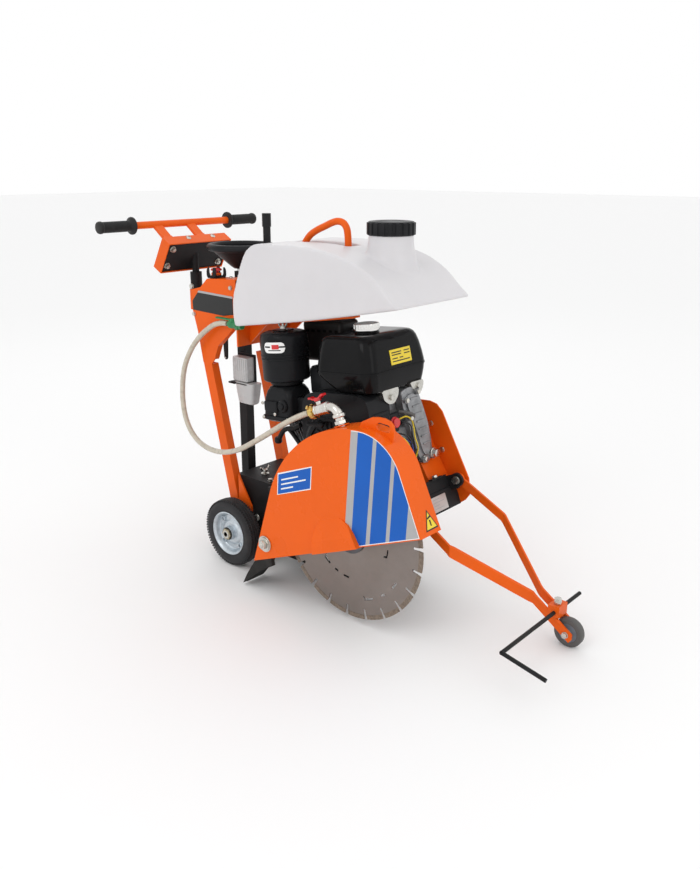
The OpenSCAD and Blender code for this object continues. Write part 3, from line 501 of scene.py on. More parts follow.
# outlines in X and Z lie in the plane of Y and Z after this, and are thickened along X
ALONG_X = Matrix(((0, 1, 0, 0), (1, 0, 0, 0), (0, 0, 1, 0), (0, 0, 0, 1)))


def paint(node, mat):
    o = nodes[node]
    o.data.materials.clear()
    o.data.materials.append(MATS[mat])


# ---------------------------------------------------------------- water hose
HOSE = [(-353, -132, 705), (-376, -133, 703.5), (-404, -134, 696), (-432, -136, 680), (-460, -137, 660),
        (-487, -139, 634), (-510, -141, 604), (-528, -144, 570), (-538, -147, 534), (-541, -150, 498),
        (-538, -154, 462), (-529, -158, 428), (-513, -162, 398), (-489, -166, 373), (-456, -169, 353),
        (-415, -172, 343), (-372, -175, 343), (-330, -178, 350), (-290, -181, 363), (-250, -184, 381),
        (-205, -187, 407), (-160, -190, 434), (-115, -193, 462), (-75, -196, 487), (-38, -198, 508),
        (-6, -199, 524), (13, -198, 532.5)]


def water_hose():
    """One hose, in two lengths that meet at its lowest point, because each can follow one joint only."""
    path = smooth_path(HOSE, 5)
    low = min(range(len(path)), key=lambda i: path[i].z)
    for name, part, bodies, start, end in (
            ("hose", path[:low + 1], ("carriage", "chassis"), (-0.50, -0.14, 0.60), (-0.41, -0.172, 0.345)),
            ("hose_front", path[low:], ("chassis", "guard"), (-0.38, -0.175, 0.345), (-0.01, -0.199, 0.522))):
        hose = put(name, Build().tube(part, 7.5, 20).mesh(), "hose", sharp=60)
        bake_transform(hose)
        if name == "hose":
            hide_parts("water_hose")


# ---------------------------------------------------------------- tank
FILLER = spot((110, 0, 0))


def blow_moulded(solids, cutters, voxel, passes):
    """Joins solids, takes the cutters away, and melts every edge a little, as blow moulding does."""
    parts = [put("raw", b.mesh(), smooth=False) for b in solids + cutters]
    for i, part in enumerate(parts[1:], 1):
        boolean(parts[0], part, "UNION" if i < len(solids) else "DIFFERENCE")
    mod = parts[0].modifiers.new("voxels", "REMESH")
    mod.mode = "VOXEL"
    mod.voxel_size = voxel
    mod = parts[0].modifiers.new("melt", "SMOOTH")
    mod.factor = 0.5
    mod.iterations = passes
    return baked(parts[0], parts[1:])


def tank():
    corners = [((-309, 703), 10), ((-314, 745), 20), ((-311, 785), 30), ((-279, 869), 30), ((-262, 900), 20),
            ((-243, 918), 20), ((-220, 927), 20), ((-75, 931), 40), ((20, 924), 40), ((117, 902), 40),
            ((178, 870), 30), ((214, 836), 20), ((238, 816), 10), ((250, 806), 4), ((105, 776), 40),
            ((-60, 744), 60)]
    outline = filleted([p for p, r in corners], [r for p, r in corners], 4)
    shell = Build().prism(outline, -147, 147, 17, 5)
    neck = Build().lathe([(0, 860), (74, 860), (66, 895), (60, 915), (56.5, 935), (55.3, 950), (55.3, 962),
            (0, 962)], 64, FILLER)
    pocket = Build().box((-217, -26, 884), (-8, 26, 990), 9, 3)
    mesh = blow_moulded([shell, neck], [pocket], 0.0045, 4)
    attach(put("tank", mesh, "poly"), "carriage", ["water_tank"])
    collar = Build().lathe([(50, 950), (50, 983), (54, 983), (54, 950)], 64, FILLER)
    collar.done("tank_collar", "poly", "carriage", "tank_plastic")


def tank_cap():
    cap = Build().lathe([(0, 990.5), (46, 990.5), (48, 991), (55, 990), (57, 986), (57.2, 959), (56, 957.5),
            (55.4, 958), (55.4, 984), (0, 985)], 72, FILLER)
    for k in range(20):
        cap.box((54, -5.2, 958.5), (59.8, 5.2, 988), 1.8, 2, FILLER @ turned("Z", 18 * k))
    cap.lathe([(30, 990), (31, 991), (40, 991), (41, 990)], 48, FILLER)
    cap.done("tank_cap_lid", "plastic", "filler_cap", "black_plastic", stand_for=["tank_cap"])


def lift_tube():
    ends = (-196, -28)
    path = [(ends[0], 0, 884), (-190, 0, 905), (-178, 0, 925), (-160, 0, 944), (-135, 0, 958), (-105, 0, 970),
            (-82, 0, 979), (-62, 0, 983), (-44, 0, 979), (-33, 0, 966), (-29, 0, 945), (-28, 0, 915),
            (ends[1], 0, 884)]
    tube = Build().tube(smooth_path(path, 6), 9, 20)
    tube.done("lift_tube", "orange", "carriage", "orange_paint", stand_for=["tank_handle"])
    feet = Build()
    for x, inwards in zip(ends, (20, -20)):
        feet.rod((x, 0, 884.5), (x, 0, 887.5), 14, 28, 0.6)
        feet.button((x + inwards, 0, 884.5), (0, 0, 1), 5)
    feet.done("lift_tube_feet", "zinc", "carriage", "zinc")


# ---------------------------------------------------------------- wheels
def rear_wheel(side, name):
    """A solid tyre with a ribbed tread on a galvanised rim; R is its radius, r its bead's and w its width."""
    w, R, r = 45, 100, 62
    body = "wheel_rear_" + name
    at = spot((-337, -178 if side < 0 else 133, 100), "X", -90)
    wall = [(r + 1, 5), (r + 6, 2.5), (r + 12, 1), (R - 17, 0.4), (R - 12, 1.6), (R - 7.5, 4.2),
            (R - 4.2, 7.6), (R - 3.4, 8.5)]
    tyre = Build().lathe(wall + [(q, w - z) for q, z in reversed(wall)] + wall[:1], 96, at)
    for k in range(72):
        for z, lean in ((7.4, 16), (w - 7.4, -16)):
            block = at @ turned("Z", 5 * k) @ spot((0, 0, z), "X", lean)
            tyre.box((R - 6.5, -2.6, -4.6), (R - 2.1, 2.6, 4.6), 0.9, 1, block)
    for z in (14.5, w / 2, w - 14.5):
        tyre.lathe([(R - 4.4, z - 3.4), (R - 0.9, z - 2.8), (R - 0.5, z), (R - 0.9, z + 2.8),
                (R - 4.4, z + 3.4)], 96, at)
    tyre.done("tyre_" + name, "tyre", body, "tyre", stand_for=["rear_tyre_" + name], angle=50)

    # z of this frame grows towards the outside of the wheel
    out = at if side > 0 else at @ spot((0, 0, w), "X", 180)
    rim = Build().lathe([(r + 1.5, 1.5), (r + 1.5, 4), (r - 3, 6), (r - 5, 12), (r - 5, 30), (r - 3, 38),
            (r + 1.5, 41), (r + 3, 43.5), (r + 1, 44.5), (r - 2, 43), (r - 6.5, 37), (r - 8, 30),
            (r - 12, 26.5), (40, 26), (36, 27.5), (33, 31), (29, 32), (24, 31), (21, 32), (20, 44),
            (17, 45.5), (12.2, 45.5), (12.2, 30), (19, 26), (30, 28), (36, 23.5), (r - 9, 23), (r - 8, 10),
            (r - 5, 2), (r + 1.5, 1.5)], 72, out)
    for k in range(4):
        at_bolt = polar(47, 45 + 90 * k)
        rim.lathe([(7.5, 26), (7.5, 29), (6, 31), (4.4, 31), (3.6, 27), (0, 26.5)], 20,
                out @ spot((*at_bolt, 0)))
    rim.done("rim_" + name, "rim", body, "rim", stand_for=["rear_rim_" + name])
    cap = Build().lathe([(0, 53), (7, 53), (9, 52), (10.5, 50.5), (11.5, 48.8), (11.8, 46), (0, 46)], 32, out)
    cap.nut(out @ Vector((0, 0, 46)), out.to_3x3() @ Vector((0, 0, 1)), 30, 5)
    cap.done("hub_cap_" + name, "brown_zinc", "carriage", "zinc")
    seal = Build().lathe([(12.3, 44), (19, 44), (19, 46.3), (12.3, 46.6)], 40, out)
    seal.done("bearing_seal_" + name, "rubber", body, "grip_rubber")


def front_wheel(side, name):
    body = "wheel_front_" + name
    at = spot((80, -113 if side < 0 else 85, 50), "X", -90)
    roller = Build().lathe([(26, 1), (46, 0), (48.5, 1.5), (50, 4), (50, 24), (48.5, 26.5), (46, 28),
            (26, 27)], 64, at)
    roller.done("roller_" + name, "rubber", body, "grip_rubber", stand_for=["front_wheel_" + name])
    hub = Build().lathe([(8.1, -0.5), (13, -0.5), (15, 3), (26.5, 5), (26.5, 23), (15, 25), (13, 28.5),
            (8.1, 28.5)], 48, at)
    hub.done("roller_hub_" + name, "cast", body, "cast")
    ring = Build().nut((80, 118.3 * side, 50), (0, side, 0), 20, 1, 0.3)
    ring.done("axle_clip_" + name, "zinc", "carriage", "zinc")


# ---------------------------------------------------------------- flat shapes on a face


def clip(poly, a, b, c):
    """Keeps the part of a polygon where a*x + b*z <= c."""
    out = []
    for i, p in enumerate(poly):
        q = poly[(i + 1) % len(poly)]
        fp, fq = a * p[0] + b * p[1] - c, a * q[0] + b * q[1] - c
        if fp <= 0:
            out.append(p)
        if fp * fq < 0:
            t = fp / (fp - fq)
            out.append((p[0] + (q[0] - p[0]) * t, p[1] + (q[1] - p[1]) * t))
    return out


def shrink(poly, d):
    """Moves each edge of a convex outline inwards by d."""
    area = sum(p[0] * q[1] - q[0] * p[1] for p, q in zip(poly, poly[1:] + poly[:1]))
    s = 1 if area > 0 else -1
    out = poly
    for p, q in zip(poly, poly[1:] + poly[:1]):
        dx, dz = q[0] - p[0], q[1] - p[1]
        n = math.hypot(dx, dz)
        if n < 1e-6:
            continue
        a, b = s * dz / n, -s * dx / n
        out = clip(out, a, b, a * p[0] + b * p[1] - d)
    return out


# ---------------------------------------------------------------- guard
GUARD = [(155, -75)] + arc(556, -117, 335, 140, 71, 36) + arc(622.7, 77, 130, 66, 0, 24) + [(760, -75)]
# the edges between the bands, all leaning a little: X at a height of 300, and the X gained for each step up
BAND_EDGES = [(166.9, .076), (188.7, .074), (234.1, .077), (245.9, .073), (292.8, .067), (303.4, .066),
        (349.9, .069)]
VINYL = -234.8


def to_row(p):
    v = CH @ Vector((p[0] * 0.001, 0, p[1] * 0.001)) * 1000
    return (v.x, v.z)


def right_of(poly, line):
    x, slope = line
    return clip(poly, -1, slope, -x + 300 * slope)


def left_of(poly, line):
    x, slope = line
    return clip(poly, 1, -slope, x - 300 * slope)


def decals():
    """Grey and blue bands on the guard's side and a plain blue label, all with a white edge."""
    outline = [to_row(p) for p in GUARD]
    edge = shrink(outline, 4.5)
    made = {"grey": Build(), "blue": Build()}
    for i, line in enumerate(BAND_EDGES):
        band = right_of(edge, line)
        if i + 1 < len(BAND_EDGES):
            band = left_of(band, BAND_EDGES[i + 1])
        if len(band) > 2:
            made["blue" if i % 2 else "grey"].prism(band, -235.5, VINYL)
    made["grey"].done("stripes_grey", "stripe_grey", "guard")
    label = [(-61, 363), (54, 408), (50, 352), (-65, 308)]
    made["blue"].prism(label, -235.5, VINYL).done("stripes_blue", "blue", "guard")
    white = Build().prism(right_of(shrink(outline, 2.6), BAND_EDGES[0]), -235.25, VINYL)
    white.prism([(-63.5, 366), (56.6, 411.6), (52.4, 350), (-67.6, 305.5)], -235.3, VINYL)
    a, b, c, d = [Vector(p) for p in label]
    for k, end in enumerate((0.62, 0.86, 0.48)):
        low = 0.27 + 0.23 * k
        bar = ((0.10, low), (end, low), (end, low + 0.07), (0.10, low + 0.07))
        white.prism([a.lerp(b, u).lerp(d.lerp(c, u), v) for u, v in bar], -235.75, -235.3)
    white.done("decal_border", "white", "guard")


def warning_triangle():
    """A plain triangle on the guard's front band, which leans back a little."""
    place = spot((759.6, 0, -66), "Y", -math.degrees(math.atan2(760 - 752.7, 77 + 75))) @ ALONG_X
    centre = Vector((-190, 18))
    for name, mat, grow, x in (("warning_edge", "label_black", 1.0, 0.45), ("warning_face", "yellow", 0.80,
            0.65)):
        pts = [centre + (Vector(p) - centre) * grow for p in ((-213, 1), (-167, 1), (-190, 49))]
        Build(CH).prism(pts, -0.2, x, 0, 1, place).done(name, mat, "guard")
    mark = Build(CH)
    for pts in ([(-192, 10), (-188, 10), (-187.5, 24), (-192.5, 24)], [(-196, 26), (-184, 30), (-186, 34),
            (-197, 30)]):
        mark.prism(pts, 0.5, 0.85, 0, 1, place)
    mark.done("warning_mark", "label_black", "guard")


# the line of the valve on the guard; z of this frame grows towards the front of the chassis
VALVE_LINE = spot((0, -198, 270), "Y", 90)


def guard_pivot():
    pivot = Build(CH)
    at = spot((223, 0, -33), "X", 90)
    # z of this frame grows towards -Y
    pivot.lathe([(0, 121), (8, 121), (8, 242), (0, 242)], 32, at)
    pivot.lathe([(8, 160), (14, 160), (14, 127), (8, 127)], 32, at)
    pivot.lathe([(8, 239.2), (18.6, 239.2), (19, 239.6), (19, 241.6), (18.6, 242), (8, 242)], 48, at)
    pivot.lathe([(8, 235.3), (22, 235.3), (22.5, 235.8), (22.5, 238.6), (22, 239.1), (8, 239.1)], 48, at)
    pivot.nut((223, -242, -33), (0, -1, 0), 22, 8.5, 1.4)
    pivot.lathe([(0, 253), (5.6, 253), (6.4, 252), (6.4, 250), (0, 250)], 24, at)
    pivot.done("guard_pivot", "zinc", "chassis", "zinc", stand_for=["guard_bolt"])


def water_elbow():
    """A boss welded on the guard, and on it an elbow: two banded sockets on a swept body."""
    boss = Build(CH).rod((585, -198, 217.5), (585, -198, 220.5), 19, 32, 0.8)
    boss.done("nipple_boss", "guard", "guard", "orange_paint")
    elbow = Build(CH)
    bend = [(585, -198, 240)] + [(x, -198, z) for x, z in arc(561, 246, 24, 0, 90, 9)] + [(556, -198, 270)]
    elbow.tube(bend, 12, 24)
    top = spot((585, -198, 0))
    elbow.lathe([(5.2, 212), (8.9, 212), (8.9, 222), (11.5, 222.5), (11.5, 238), (15, 239.5), (16, 241.5),
            (16, 246), (15, 248), (11.5, 249.5), (5.2, 249.5), (5.2, 212)], 32, top)
    elbow.nut((585, -198, 222.5), (0, 0, 1), 27, 9, 1.0)
    elbow.lathe([(0, 552), (15, 552), (16, 553.5), (16, 558.5), (15, 560.5), (11.5, 562), (0, 562)], 32,
            VALVE_LINE)
    elbow.done("elbow", "nickel", "guard", "nickel", stand_for=["water_elbow"])


def ball_valve():
    valve = Build(CH).lathe([(0, 514), (11, 514), (14.5, 516), (15, 519), (13, 521.5), (14.2, 525),
            (15.2, 531), (14.2, 537), (13, 540.5), (15, 543), (15, 549), (13.6, 551.6), (0, 551.6)], 32,
            VALVE_LINE)
    valve.nut((543, -198, 270), (1, 0, 0), 25, 8.4, 0.8)
    valve.nut((514.5, -198, 270), (1, 0, 0), 25, 6.5, 0.8)
    valve.rod((531, -198, 280), (531, -198, 291), 7.2, 24, 0.6)
    valve.nut((531, -198, 288), (0, 0, 1), 11, 3.4, 0.5)
    valve.done("valve_body", "nickel", "guard", "nickel", stand_for=["ball_valve"])
    nut = Build(CH).lathe([(0, 491), (5, 491), (5.6, 492), (5.6, 495), (12, 495.5), (12.6, 497), (12.6, 499),
            (17, 499.5), (18, 500.5), (18, 509.5), (17, 511), (13, 512), (13, 513.8), (0, 513.8)], 40,
            VALVE_LINE)
    for k in range(10):
        nut.box((16.6, -2.7, 500.5), (18.9, 2.7, 510), 0.8, 1, VALVE_LINE @ turned("Z", 36 * k))
    for k in (50, 230):
        nut.box((14, -5, 500), (24, 5, 507), 2.0, 2, VALVE_LINE @ turned("Z", k))
    nut.done("hose_nut", "brass", "guard", "brass")
    lever = Build(CH).lathe([(0, 291.8), (8.6, 291.8), (9.4, 292.8), (9.4, 298), (8.4, 300), (0, 300)], 32,
            spot((531, -198, 0)))
    pts = smooth_path([(505, 0, 303), (510, 0, 304), (517, 0, 300), (524, 0, 297.5), (531, 0, 297),
            (538, 0, 297.5), (545, 0, 300), (552, 0, 304), (557, 0, 303)], 3)
    low = [(p.x, p.z - 2.2) for p in pts]
    high = [(p.x, p.z + 2.2) for p in pts]
    lever.prism(low + high[::-1], -205.5, -190.5, 1.6, 2)
    lever.done("valve_handle_bar", "red", "valve_handle", "red_paint", stand_for=["valve_lever"])


# ---------------------------------------------------------------- engine
def petrol_tank():
    shell = Build(EN).loft([(14, -120, 122, 86, 22, 297.5), (4, -128, 130, 93, 27, 300),
            (-20, -132, 134, 97, 30, 316), (-42, -135.5, 136.5, 100, 31, 332),
            (-50, -137.2, 137.4, 101.3, 32, 341), (-51.5, -137.8, 137.8, 101.8, 32, 344.5),
            (-53, -139.3, 139.3, 103.3, 33, 345), (-53, -139.3, 139.3, 103.3, 33, 349.6),
            (-51.5, -137.8, 137.8, 101.8, 32, 350), (-51.8, -137.6, 137.6, 101.6, 32, 356),
            (-49.5, -135, 134.8, 99, 33, 378), (-46.5, -131.5, 130, 95.5, 34, 402),
            (-43.5, -127.5, 124.5, 91, 34, 420), (-40, -123.5, 119, 87, 33, 428.5),
            (-34, -117.5, 112, 81, 30, 433.6), (-25, -108, 102, 72, 26, 436), (-10, -90, 86, 56, 20, 437)], 8)
    shell.lathe([(0, 433), (34, 433), (31, 440), (27.5, 441.6), (0, 441.6)], 40, spot((58, -45, 0)))
    shell.done("petrol_tank", "tank_black", "chassis", "tank_black", angle=50, stand_for=["fuel_tank"])
    cap = Build(EN)
    at = spot((58, -45, 0))
    cap.lathe([(0, 442.4), (30, 442.4), (31.4, 443.6), (31.8, 447), (31.8, 458), (30.8, 461), (27, 462),
            (24, 462.2), (18, 460.4), (0, 460.2)], 64, at)
    for k in range(24):
        x, y = polar(31.4, 15 * k, 58, -45)
        cap.rod((x, y, 446), (x, y, 459), 1.5, 8)
    cap.done("petrol_cap_shell", "chrome", "petrol_cap", "chrome", stand_for=["fuel_cap"])
    ring = Build(EN).lathe([(31.9, 445), (33, 445), (33, 448.4), (31.9, 448.4)], 48, at)
    ring.done("petrol_cap_ring", "chrome", "petrol_cap", "chrome")
    label = Build(EN)
    face = spot((134.8, -12, 378), "Y", -9.2)
    label.box((-1.5, -41, -18.5), (0.9, 41, 18.5), 0.4, 1, face)
    label.done("caution_label", "yellow", "chassis")
    label = Build(EN)
    for z, y0, y1 in ((11, -35, 4), (5, -35, 2), (-4, -35, -14), (-4, -6, 8), (-11, -35, 34), (11, 14, 36),
            (4, 14, 36)):
        label.box((0.5, y0, z - 1.3), (1.25, y1, z + 1.3), 0, 1, face)
    label.done("caution_marks", "label_black", "chassis")
    lug = Build(EN).rod((100, 101, 342), (100, 110, 342), 5.5, 20, 0.8)
    lug.box((80, 96, 339), (118, 104, 345), 1, 1)
    lug.done("tank_lug", "zinc", "chassis", "zinc")


def crankcase():
    """Crankcase, cylinder and brackets in bare alloy."""
    case = Build(EN).box((-108, -100, 4), (120, 56, 196), 14, 3)
    case.box((-128, -96, 0), (132, 48, 12), 4, 2)
    for x in (-110, 112):
        for y in (-84, 34):
            case.lathe([(0, 0), (13, 0), (13, 14), (11, 16), (0, 16)], 24, spot((x, y, 0)))
    arm = [(-14, 288), (22, 293), (50, 281), (70, 236), (88, 190), (100, 140), (105, 96), (92, 76), (62, 80),
            (44, 104), (26, 152), (4, 206), (-14, 250)]
    case.prism(filleted(arm, 12), 112, 134, 5, 3, ALONG_X)
    inner = [(0, 272), (24, 276), (42, 264), (60, 222), (76, 178), (88, 132), (90, 104), (72, 96), (56, 116),
            (40, 160), (18, 212), (2, 246)]
    case.prism(filleted(inner, 10), 130, 139, 3.5, 2, ALONG_X)
    for k in range(7):
        t = k / 6
        y, z = 28 + 46 * t, 262 - 128 * t
        case.box((136, y - 16, z - 2.6), (141.5, y + 16, z + 2.6), 1.5)
    for y, z in ((100, 92), (60, 90), (10, 214), (-4, 262), (44, 276)):
        case.lathe([(0, 128), (9, 128), (8, 141), (0, 141)], 20, spot((0, y, z), "Y", 90))
    case.box((118, -96, 40), (128, 40, 120), 5, 2)
    for y in range(-90, 36, 14):
        case.box((120, y - 1.6, 44), (131, y + 1.6, 118), 1.2, 1)
    fins = spot((-110, -30, 110), "Y", -25)
    case.box((-118, 2, 4), (4, 82, 106), 6, 2, fins)
    for x in range(-114, -8, 10):
        case.box((x, -4, -8), (x + 3.2, 88, 118), 1.2, 1, fins)
    case.box((-60, -50, 196), (110, 52, 296), 8, 2)
    case.done("crankcase", "alloy", "chassis", "engine_alloy", stand_for=["engine_block"])


def intake_and_brackets():
    duct = Build(EN).box((-152, -42, 272), (-120, 8, 340), 6, 2)
    duct.box((-134, -68, 270), (-60, 52, 342), 9, 3)
    duct.prism(filleted([(-60, 296), (60, 296), (40, 312), (-30, 318), (-60, 330)], 6), -100, 40, 5, 2)
    duct.done("intake_duct", "filter", "chassis")
    bracket = Build(EN).prism(filleted([(-86, 300), (-18, 300), (-24, 278), (-40, 262), (-60, 262),
            (-80, 276)], 7), 112, 130, 2.5, 2, ALONG_X)
    bracket.bolt((130, -52, 279), (1, 0, 0), 8)
    bracket.prism(filleted([(20, 303), (78, 303), (74, 286), (62, 268), (48, 268), (28, 288)], 7), 116, 136,
            3, 2, ALONG_X)
    bracket.bolt((136, 52, 290), (1, 0, 0), 8)
    bracket.done("tank_brackets", "zinc", "chassis", "zinc")
    bolts = Build(EN).rod((134, 101, 100), (142, 101, 100), 13.5, 32, 1)
    bolts.nut((142, 101, 100), (1, 0, 0), 19, 11, 1.2)
    bolts.rod((134, 64, 92), (139, 64, 92), 8, 24, 0.8)
    bolts.nut((139, 64, 92), (1, 0, 0), 12, 6, 0.8)
    for y, zz in ((10, 214), (-4, 262), (44, 276)):
        bolts.nut((141, y, zz), (1, 0, 0), 11, 5, 0.8)
    bolts.done("case_bolts", "nickel", "chassis", "zinc")


def fan_housing():
    """The fan's cover with its louvres, and the shroud that leads the air over the cylinder."""
    fan = Build(EN)
    at = spot((15, 0, 137), "X", 90)
    fan.lathe([(0, 108), (116, 108), (118, 110), (118, 134), (114, 140), (104, 144.5), (98, 146), (0, 146)],
            72, at)
    fan.lathe([(0, 145), (30, 145), (32, 151), (28, 153.5), (0, 153.5)], 48, at)
    fan.lathe([(88, 145), (90, 150.5), (95, 150.5), (97, 145)], 72, at)
    for k in range(30):
        fan.box((36, -2.2, 145), (86, 2.2, 150), 1, 1, at @ turned("Z", 12 * k))
    shape = [(-104, 160), (-96, 262), (-78, 288), (-40, 296), (96, 296), (120, 284), (128, 262), (130, 172),
            (112, 70), (60, 140)]
    fan.prism(filleted(shape, 16), -140, -58, 9, 3)
    fan.box((96, -128, 176), (134, -62, 250), 8, 3)
    for k in range(6):
        fan.box((131, -120, 186 + 10 * k), (136.5, -72, 190 + 10 * k), 1.2, 1)
    fan.box((-58, -148, 196), (-8, -132, 236), 5, 2)
    fan.rod((-34, -146, 216), (-34, -158, 216), 9, 20, 2)
    fan.box((-62, -166, 210), (-6, -155, 222), 5, 2)
    fan.done("fan_housing", "filter", "chassis", "black_plastic", stand_for=["recoil_cover"])
    switch = Build(EN).lathe([(0, 124), (15, 124), (15, 132), (13, 134), (13, 139), (11, 141), (0, 141)], 28,
            spot((0, -46, 213), "Y", 90))
    switch.done("engine_switch", "red", "chassis")


def wiring():
    Build(EN).box((118, -68, 186), (130, -24, 236), 4, 2).done("switch_box", "plastic", "chassis")
    for i, (mat, pts) in enumerate((("wire_yellow", [(124, -26, 214), (140, -10, 222), (143, 8, 210),
            (141, 18, 190), (143, 20, 160), (140, 34, 130), (132, 34, 104)]), ("wire_black", [(126, -34, 196),
            (144, -18, 208), (147, 0, 196), (143, 10, 170), (144, 16, 140), (134, 26, 112)]), ("wire_black",
            [(126, -34, 182), (142, -20, 176), (146, -4, 160), (142, 8, 128), (134, 14, 100)]),
            ("wire_yellow", [(127, -36, 174), (140, -22, 166), (146, -8, 142), (140, 2, 112), (130, 6, 92)]),
            ("wire_blue", [(127, -30, 168), (140, -12, 160), (145, 2, 148), (142, 12, 118), (132, 20, 94)]),
            ("grey_rubber", [(126, -20, 236), (142, -8, 232), (146, 10, 224), (140, 22, 214)]))):
        wire = Build(EN).tube(smooth_path(pts, 6), 4.5 if mat == "grey_rubber" else 2.0, 10)
        wire.done("wire_%d" % i, mat, "chassis")


def air_cleaner():
    """A cyclone cleaner on its black base."""
    cyclone = Build(EN)
    at = spot((-196, -88, 0))
    cyclone.lathe([(0, 298), (43, 298), (45, 300), (45, 306), (58, 309), (62, 312), (63, 316), (63, 367),
            (64.6, 368), (64.6, 372), (63.4, 373), (63.4, 375.5), (64.8, 376.5), (64.8, 381), (63.4, 382),
            (64, 384), (64, 424), (62, 431), (57, 436.5), (50, 439), (30, 441), (27, 443.5), (0, 443.5)], 96,
            at)
    cyclone.done("cyclone", "filter", "chassis", "black_plastic", stand_for=["air_cleaner"], angle=30)
    base = Build(EN).loft([(-236, -130, -150, -50, 14, 199), (-250, -142, -140, -44, 16, 206),
            (-252, -144, -138, -42, 16, 210), (-252, -144, -138, -42, 16, 216),
            (-248, -140, -142, -46, 14, 218), (-244, -138, -144, -46, 14, 262),
            (-240, -134, -148, -48, 18, 280), (-236, -128, -154, -52, 22, 292),
            (-228, -122, -162, -58, 26, 298)], 5)
    base.box((-236, -146, 228), (-186, -136, 258), 6, 2)
    base.rod((-168, -134, 246), (-168, -146, 246), 17, 32, 3)
    base.rod((-168, -144, 246), (-168, -150, 246), 9, 24, 2)
    base.box((-146, -110, 216), (-110, -60, 268), 8, 2)
    base.done("cleaner_base", "filter", "chassis", "black_plastic")
    screws = Build(EN)
    for x, y, zz in ((-240, -145, 212), (-150, -145, 212), (-196, -145, 223), (-244, -141, 250)):
        screws.button((x, y, zz), (0, -1, 0), 5)
    screws.rod((-196, -88, 443), (-196, -88, 458), 3, 16, 0.5)
    screws.lathe([(0, 444.5), (8, 444.5), (8.5, 446), (7, 453), (0, 453)], 24, at)
    for sgn in (-1, 1):
        wing = smooth_path([(-196 + sgn * 6, -88, 448), (-196 + sgn * 12, -88, 452),
                (-196 + sgn * 15, -88, 459)], 4)
        screws.tube(wing, 2.6, 10)
    screws.done("wing_nut", "zinc", "chassis", "zinc")
    Build(EN).patch(64.0, -71, 403, 62, 28, 12, at, 0.5).done("filter_label", "white", "chassis")
    Build(EN).patch(64.5, -67, 405, 20, 12, 0.6, at, 0.35, 12).done("filter_label_red", "red", "chassis")
    marks = Build(EN)
    for az, w, zz, h in ((-88, 18, 405, 4), (-50, 18, 405, 4), (-70, 36, 396, 2.4)):
        marks.patch(64.5, az, zz, w, h, 0.3, at, 0.35, 12)
    marks.done("filter_label_marks", "label_black", "chassis")


def silencer():
    """The silencer under its shield; the shield's slots are dark patches on its faces, painted shade in place
    of openings.
    """
    body = Build(EN).box((-205, -8, 346), (-60, 68, 456), 12, 3)
    body.rod((-150, 30, 242), (-150, 30, 350), 18, 32)
    body.box((-198, -2, 452), (-67, 62, 463), 5, 2)
    body.rod((-60, 40, 420), (-50, 40, 420), 16, 32, 2)
    body.done("silencer", "shield", "chassis", "heat_shield", stand_for=["muffler"])
    # painted shade: thin near-black patches on the shield's faces where its slots are; the shield is not cut
    # through
    shade_marks = Build(EN)
    for i in range(6):
        shade_marks.box((-190 + 21 * i, -8.4, 426), (-179 + 21 * i, -7.6, 432), 0, 1)
        shade_marks.box((-186 + 19 * i, 10, 462.6), (-176 + 19 * i, 16, 463.4), 0, 1)
        shade_marks.box((-186 + 19 * i, 30, 462.6), (-176 + 19 * i, 36, 463.4), 0, 1)
    shade_marks.done("silencer_slot_shade", "painted_shade", "chassis")
    screws = Build(EN)
    for x in (-196, -70):
        screws.button((x, -8, 356), (0, -1, 0), 5)
    screws.done("silencer_screws", "zinc", "chassis", "zinc")


def cable_fork():
    """A forked black bracket below the air cleaner."""
    fork = Build().tube(smooth_path([(-236, -60, 376), (-226, -60, 396), (-212, -60, 412), (-192, -60, 420),
            (-172, -60, 424), (-150, -60, 438)], 6), 7, 14)
    fork.tube(smooth_path([(-196, -60, 418), (-182, -60, 408), (-168, -60, 396), (-150, -60, 380)], 6), 6, 14)
    fork.lathe([(0, 368), (8, 368), (11, 372), (11, 382), (8, 386), (0, 386)], 20, spot((-238, -60, 0)))
    fork.done("cable_fork", "plastic", "chassis")


# ---------------------------------------------------------------- console, controls and tool holder
def console_trim():
    panel = [(-517, 750), (-493, 775), (-346, 771), (-346, 727), (-388, 720), (-516, 724)]
    Build().prism(panel, -115.7, -114.8).prism(panel, 114.8, 115.7).done("console_band", "label_black",
            "carriage")
    edge = Build()
    for a, c in ((-115.8, -114.8), (114.8, 115.8)):
        edge.prism([(-493.5, 775.2), (-488, 781), (-346, 776.5), (-346, 771)], a, c)
    edge.done("console_band_edge", "stripe_grey", "carriage")
    bolts = Build()
    for x, z in ((-512, 712), (-498, 640), (-352, 800)):
        bolts.bolt((x, -115, z), (0, -1, 0), 6)
        bolts.bolt((x, 115, z), (0, 1, 0), 6)
    for y in (-70, 70):
        bolts.button((-400, y, 820), (0.06, 0, 1), 6)
    bolts.done("console_bolts", "zinc", "carriage", "zinc")


def stop_button():
    """The emergency stop with its guard horns."""
    housing = Build()
    at = spot((-440, -88, 0))
    housing.lathe([(7.4, 815), (17, 815), (19, 817), (19, 822), (15, 824), (14, 826), (14, 830.5),
            (7.4, 830.5), (7.4, 815)], 36, at)
    for ang in (35, 125, 215, 305):
        horn = [(15, 817), (24, 817), (27, 824), (27, 838), (24, 846), (21, 848), (20.5, 842), (21.5, 830),
                (17, 824)]
        housing.prism(filleted(horn, 1.5, 2), -4.5, 4.5, 1.5, 2, at @ turned("Z", ang))
    housing.done("stop_housing", "plastic", "carriage", "black_plastic")
    mushroom = Build().lathe([(0, 830.8), (6.9, 830.8), (6.9, 837.3), (12, 837.6), (15, 838.6), (15.6, 840),
            (14.5, 843), (10, 845), (0, 845.6)], 40, at)
    mushroom.done("stop_mushroom", "red", "stop", "red_plastic", stand_for=["stop_button"])


